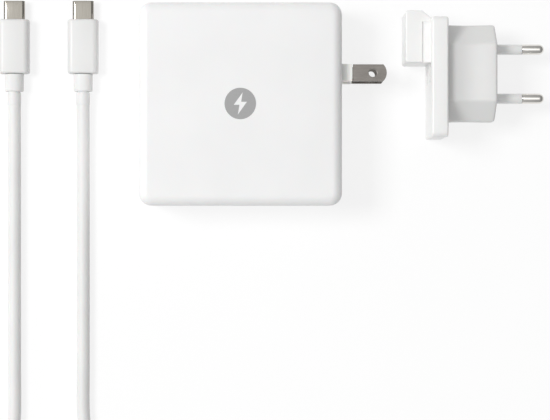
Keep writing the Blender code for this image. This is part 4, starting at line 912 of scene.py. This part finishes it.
# Turned and plated brass: bright and smooth, with turning marks round it, 1.9 mm apart, which is
# coarser than real ones.
plated_pin, tree, place = begin_material("turned_nickel_plated_brass")
rings_node = add(tree, "TexWave", {"Vector": place, "Scale": 1 / (6 * MM),
                                   "Distortion": 0.6, "Detail": 2.0}, bands_direction="X")
pin_wear = add(tree, "TexNoise", {"Vector": place, "Scale": 1 / (1.5 * MM), "Detail": 3.0})
surface(tree, {"Metallic": 1.0}, tones=(pin_wear.outputs["Fac"], "#E2DFDA", "#EFEDE9"),
        rough=(pin_wear.outputs["Fac"], 0.1, 0.2),
        bump=(rings_node.outputs["Fac"], 0.05, 0.01 * MM))

tip_turn = np.linspace(0, math.pi / 2, 14)[:-1]
ball = [(PIN_TIP_X - PIN_RADIUS + PIN_RADIUS * math.sin(a), PIN_RADIUS * math.cos(a))
        for a in tip_turn]
for side, pin_y in zip(("lower", "upper"), PIN_Y):
    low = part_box("eu_pin_" + side)[0]
    profile = [(low.x, ROOT_RADIUS), (low.x + ROOT_LENGTH, ROOT_RADIUS),
               (low.x + ROOT_LENGTH + 2 * EDGE, NECK_RADIUS), (SLEEVE_END_X + EDGE, NECK_RADIUS),
               (SLEEVE_END_X + 2 * EDGE, PIN_RADIUS - 2 * EDGE),
               (SLEEVE_END_X + 5 * EDGE, PIN_RADIUS)] + ball
    make_piece("round_pin_" + side,
               *outward(*skin(turned_rings(profile, (0.0, pin_y, HEAD_MIDDLE[1]), PIN_SIDES),
                              last_pole=True)),
               plated_pin, "eu_head", "nickel_plated_brass", ("eu_pin_" + side,), sharp=50)
    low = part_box("pin_sleeve_" + side)[0]
    profile = [(low.x, SLEEVE_BORE), (low.x, SLEEVE_RADIUS),
               (SLEEVE_END_X - 3 * EDGE, SLEEVE_RADIUS),
               (SLEEVE_END_X - EDGE, SLEEVE_RADIUS - EDGE),
               (SLEEVE_END_X, SLEEVE_RADIUS - 3 * EDGE), (SLEEVE_END_X, SLEEVE_BORE)]
    rings = turned_rings(profile, (0.0, pin_y, HEAD_MIDDLE[1]), PIN_SIDES)
    make_piece("sleeve_" + side, *outward(*loop(rings)), smooth_pc, "eu_head",
               "white_polycarbonate", ("pin_sleeve_" + side,), sharp=50)


# ---- Boards ----------------------------------------------------------------------------------
# The main board and the output board: 1.6 mm glass-epoxy laminate with green solder mask, routed
# out of a panel. Copper tracks show as faint ridges through the mask.

# Masked laminate: dark green and glossy, over tracks some 2 mm apart, with a faint slanting
# ripple every 6.3 mm, far coarser than the glass weave that it stands for.
green_board, tree, place = begin_material("green_masked_laminate")
tracks = add(tree, "TexBrick", {"Vector": place, "Color1": linear("#1F6B3F"),
                                "Color2": linear("#1B6038"), "Mortar": linear("#174F30"),
                                "Scale": 1 / (8 * MM), "Mortar Size": 0.06}, offset=0.35)
threads = add(tree, "TexWave", {"Vector": place, "Scale": 1 / (10 * MM)},
              bands_direction="DIAGONAL")
mask_height = add(tree, "Math", {0: tracks.outputs["Fac"], 1: -1.0}, operation="MULTIPLY")
mask_detail = add(tree, "Math", {0: threads.outputs["Fac"], 1: 0.1, 2: mask_height.outputs[0]},
                  operation="MULTIPLY_ADD")
surface(tree, {"Base Color": tracks.outputs["Color"], "Roughness": 0.3, "IOR": 1.5,
               "Coat Weight": 0.4, "Coat Roughness": 0.15},
        bump=(mask_detail.outputs[0], 0.4, 0.05 * MM))
for board in ("main_board", "output_board"):
    finish_node(board, green_board)


# ---- Mains side parts ------------------------------------------------------------------------
# Between the blades and the rectified supply: a fuse and an X capacitor in moulded boxes, a disc
# Y capacitor, a choke wound on a ferrite ring, and a bridge rectifier in black epoxy.

# Black epoxy, transfer moulded: dull, with specks of silica filler of about 0.15 mm.
black_epoxy = one_pattern("moulded_black_epoxy", 0.15 * MM, 4.0, ("#161617", "#2D2D2F", 0.0, 0.8),
                          {"Roughness": 0.6, "IOR": 1.55}, bump=(0.25, 0.03 * MM))

# Polybutylene terephthalate box, potted: saturated yellow, with a satin skin and flow lines.
yellow_box = one_pattern("moulded_pbt_yellow", 3 * MM, 3.0, ("#D9A72B", "#E5B93F"),
                         {"Roughness": 0.4, "IOR": 1.55}, bump=(0.1, 0.05 * MM), distortion=1.0)

# Dipped ceramic disc: blue phenolic coat, slightly lumpy where it drained.
blue_dip = one_pattern("dipped_phenolic_blue", 1.5 * MM, 2.0, ("#2F6FA8", "#3F83BD"),
                       {"Roughness": 0.35, "IOR": 1.55}, bump=(0.4, 0.15 * MM))

# Sintered manganese-zinc ferrite: near black, dull grey sheen, with pores drawn at 0.5 mm.
sintered_ferrite, tree, place = begin_material("sintered_ferrite")
pores = add(tree, "TexVoronoi", {"Vector": place, "Scale": 1 / (0.5 * MM)})
surface(tree, {"Roughness": 0.5, "IOR": 2.0},
        tones=(pores.outputs["Distance"], "#1E1E20", "#38383B"),
        bump=(pores.outputs["Distance"], 0.3, 0.05 * MM))

# Enamelled copper wire: deep orange under clear varnish, as ridges 1.2 mm apart, with painted
# shade in the grooves between the turns and painted light on their crests.
enamelled_copper, tree, place = begin_material("enamelled_copper_wire")
ridges_and_painted_shade = add(tree, "TexWave", {"Vector": place, "Scale": math.pi / (12 * MM),
                                "Distortion": 0.3}, bands_direction="X")
surface(tree, {"Metallic": 1.0, "Roughness": 0.3, "Coat Weight": 0.6, "Coat Roughness": 0.1},
        tones=(ridges_and_painted_shade.outputs["Fac"], "#7A3A1C", "#C8713B"),
        bump=(ridges_and_painted_shade.outputs["Fac"], 0.8, 0.2 * MM))

for part, material, edge in (("fuse", black_epoxy, 0.3), ("x_capacitor", yellow_box, 0.4),
                             ("y_capacitor", blue_dip, 0.4), ("choke_core", sintered_ferrite, 0.3),
                             ("choke_winding", enamelled_copper, 0.2),
                             ("bridge_rectifier", black_epoxy, 0.2)):
    finish_node(part, material)
    soften(part, edge * MM, segments=2)

# PVC wire cover: brown for live and blue for neutral, glossy, with a faint mottle of 1 mm.
for wire, name, dark, light in (("live_wire", "pvc_wire_brown", "#5A3620", "#6E452B"),
                                ("neutral_wire", "pvc_wire_blue", "#1E4E8C", "#2A61A6")):
    pvc = one_pattern(name, 1.0 * MM, 3.0, (dark, light), {"Roughness": 0.3, "IOR": 1.53},
                      bump=(0.1, 0.03 * MM))
    finish_node(wire, pvc)


# ---- Conversion parts ------------------------------------------------------------------------
# Electrolytic capacitors in shrink sleeves, a switching transistor on an aluminium plate, the
# transformer wound on its ferrite core and wrapped in tape, and the controller in black epoxy.

# PET shrink sleeve over an aluminium can: dark blue-black gloss, with fine shrink wrinkles.
shrink_sleeve = one_pattern("pet_shrink_sleeve", 0.8 * MM, 2.0, ("#1B2230", "#263143"),
                            {"Roughness": 0.2, "IOR": 1.57}, bump=(0.15, 0.05 * MM),
                            distortion=0.5)

# Polyester winding tape: translucent yellow over copper, in laps of 6 mm with glossy edges.
winding_tape, tree, place = begin_material("polyester_winding_tape")
laps = add(tree, "TexWave", {"Vector": place, "Scale": math.pi / (60 * MM),
                             "Distortion": 0.2}, bands_direction="Z", wave_profile="SAW")
surface(tree, {"Roughness": 0.28, "IOR": 1.6, "Coat Weight": 0.3, "Coat Roughness": 0.12},
        tones=(laps.outputs["Fac"], "#D7A52F", "#E9BE4C"),
        bump=(laps.outputs["Fac"], 0.3, 0.06 * MM))

# Mill-finish aluminium sheet: bright grey, rolled in one direction, with marks of 0.3 mm.
mill_aluminium = one_pattern("mill_finish_aluminium", 0.3 * MM, 3.0, ("#B4B6B8", "#CDCED0"),
                             {"Metallic": 1.0}, rough=(0.25, 0.42), stretch=(0.05, 1.0, 1.0))

# Polyimide-look insulation film: thin amber sheet, glossy, with soft handling creases.
insulation_film = one_pattern("amber_insulation_film", 6 * MM, 2.0, ("#B9772A", "#CB8B3B"),
                              {"Roughness": 0.2, "IOR": 1.6}, bump=(0.3, 0.3 * MM), distortion=1.5)

for part, material, edge in (("bulk_capacitor_1", shrink_sleeve, 0.5),
                             ("bulk_capacitor_2", shrink_sleeve, 0.5),
                             ("output_capacitor_1", shrink_sleeve, 0.3),
                             ("output_capacitor_2", shrink_sleeve, 0.3),
                             ("switching_transistor", black_epoxy, 0.2),
                             ("controller_chip", black_epoxy, 0.15),
                             ("transformer_core", sintered_ferrite, 0.4),
                             ("transformer_winding", winding_tape, 0.4),
                             ("heatsink_primary", mill_aluminium, 0.15),
                             ("heatsink_secondary", mill_aluminium, 0.15)):
    finish_node(part, material)
    soften(part, edge * MM, segments=2)
for part, material in (("insulation_sheet", insulation_film), ("heat_spreader_top", mill_aluminium),
                       ("heat_spreader_bottom", mill_aluminium)):
    finish_node(part, material)
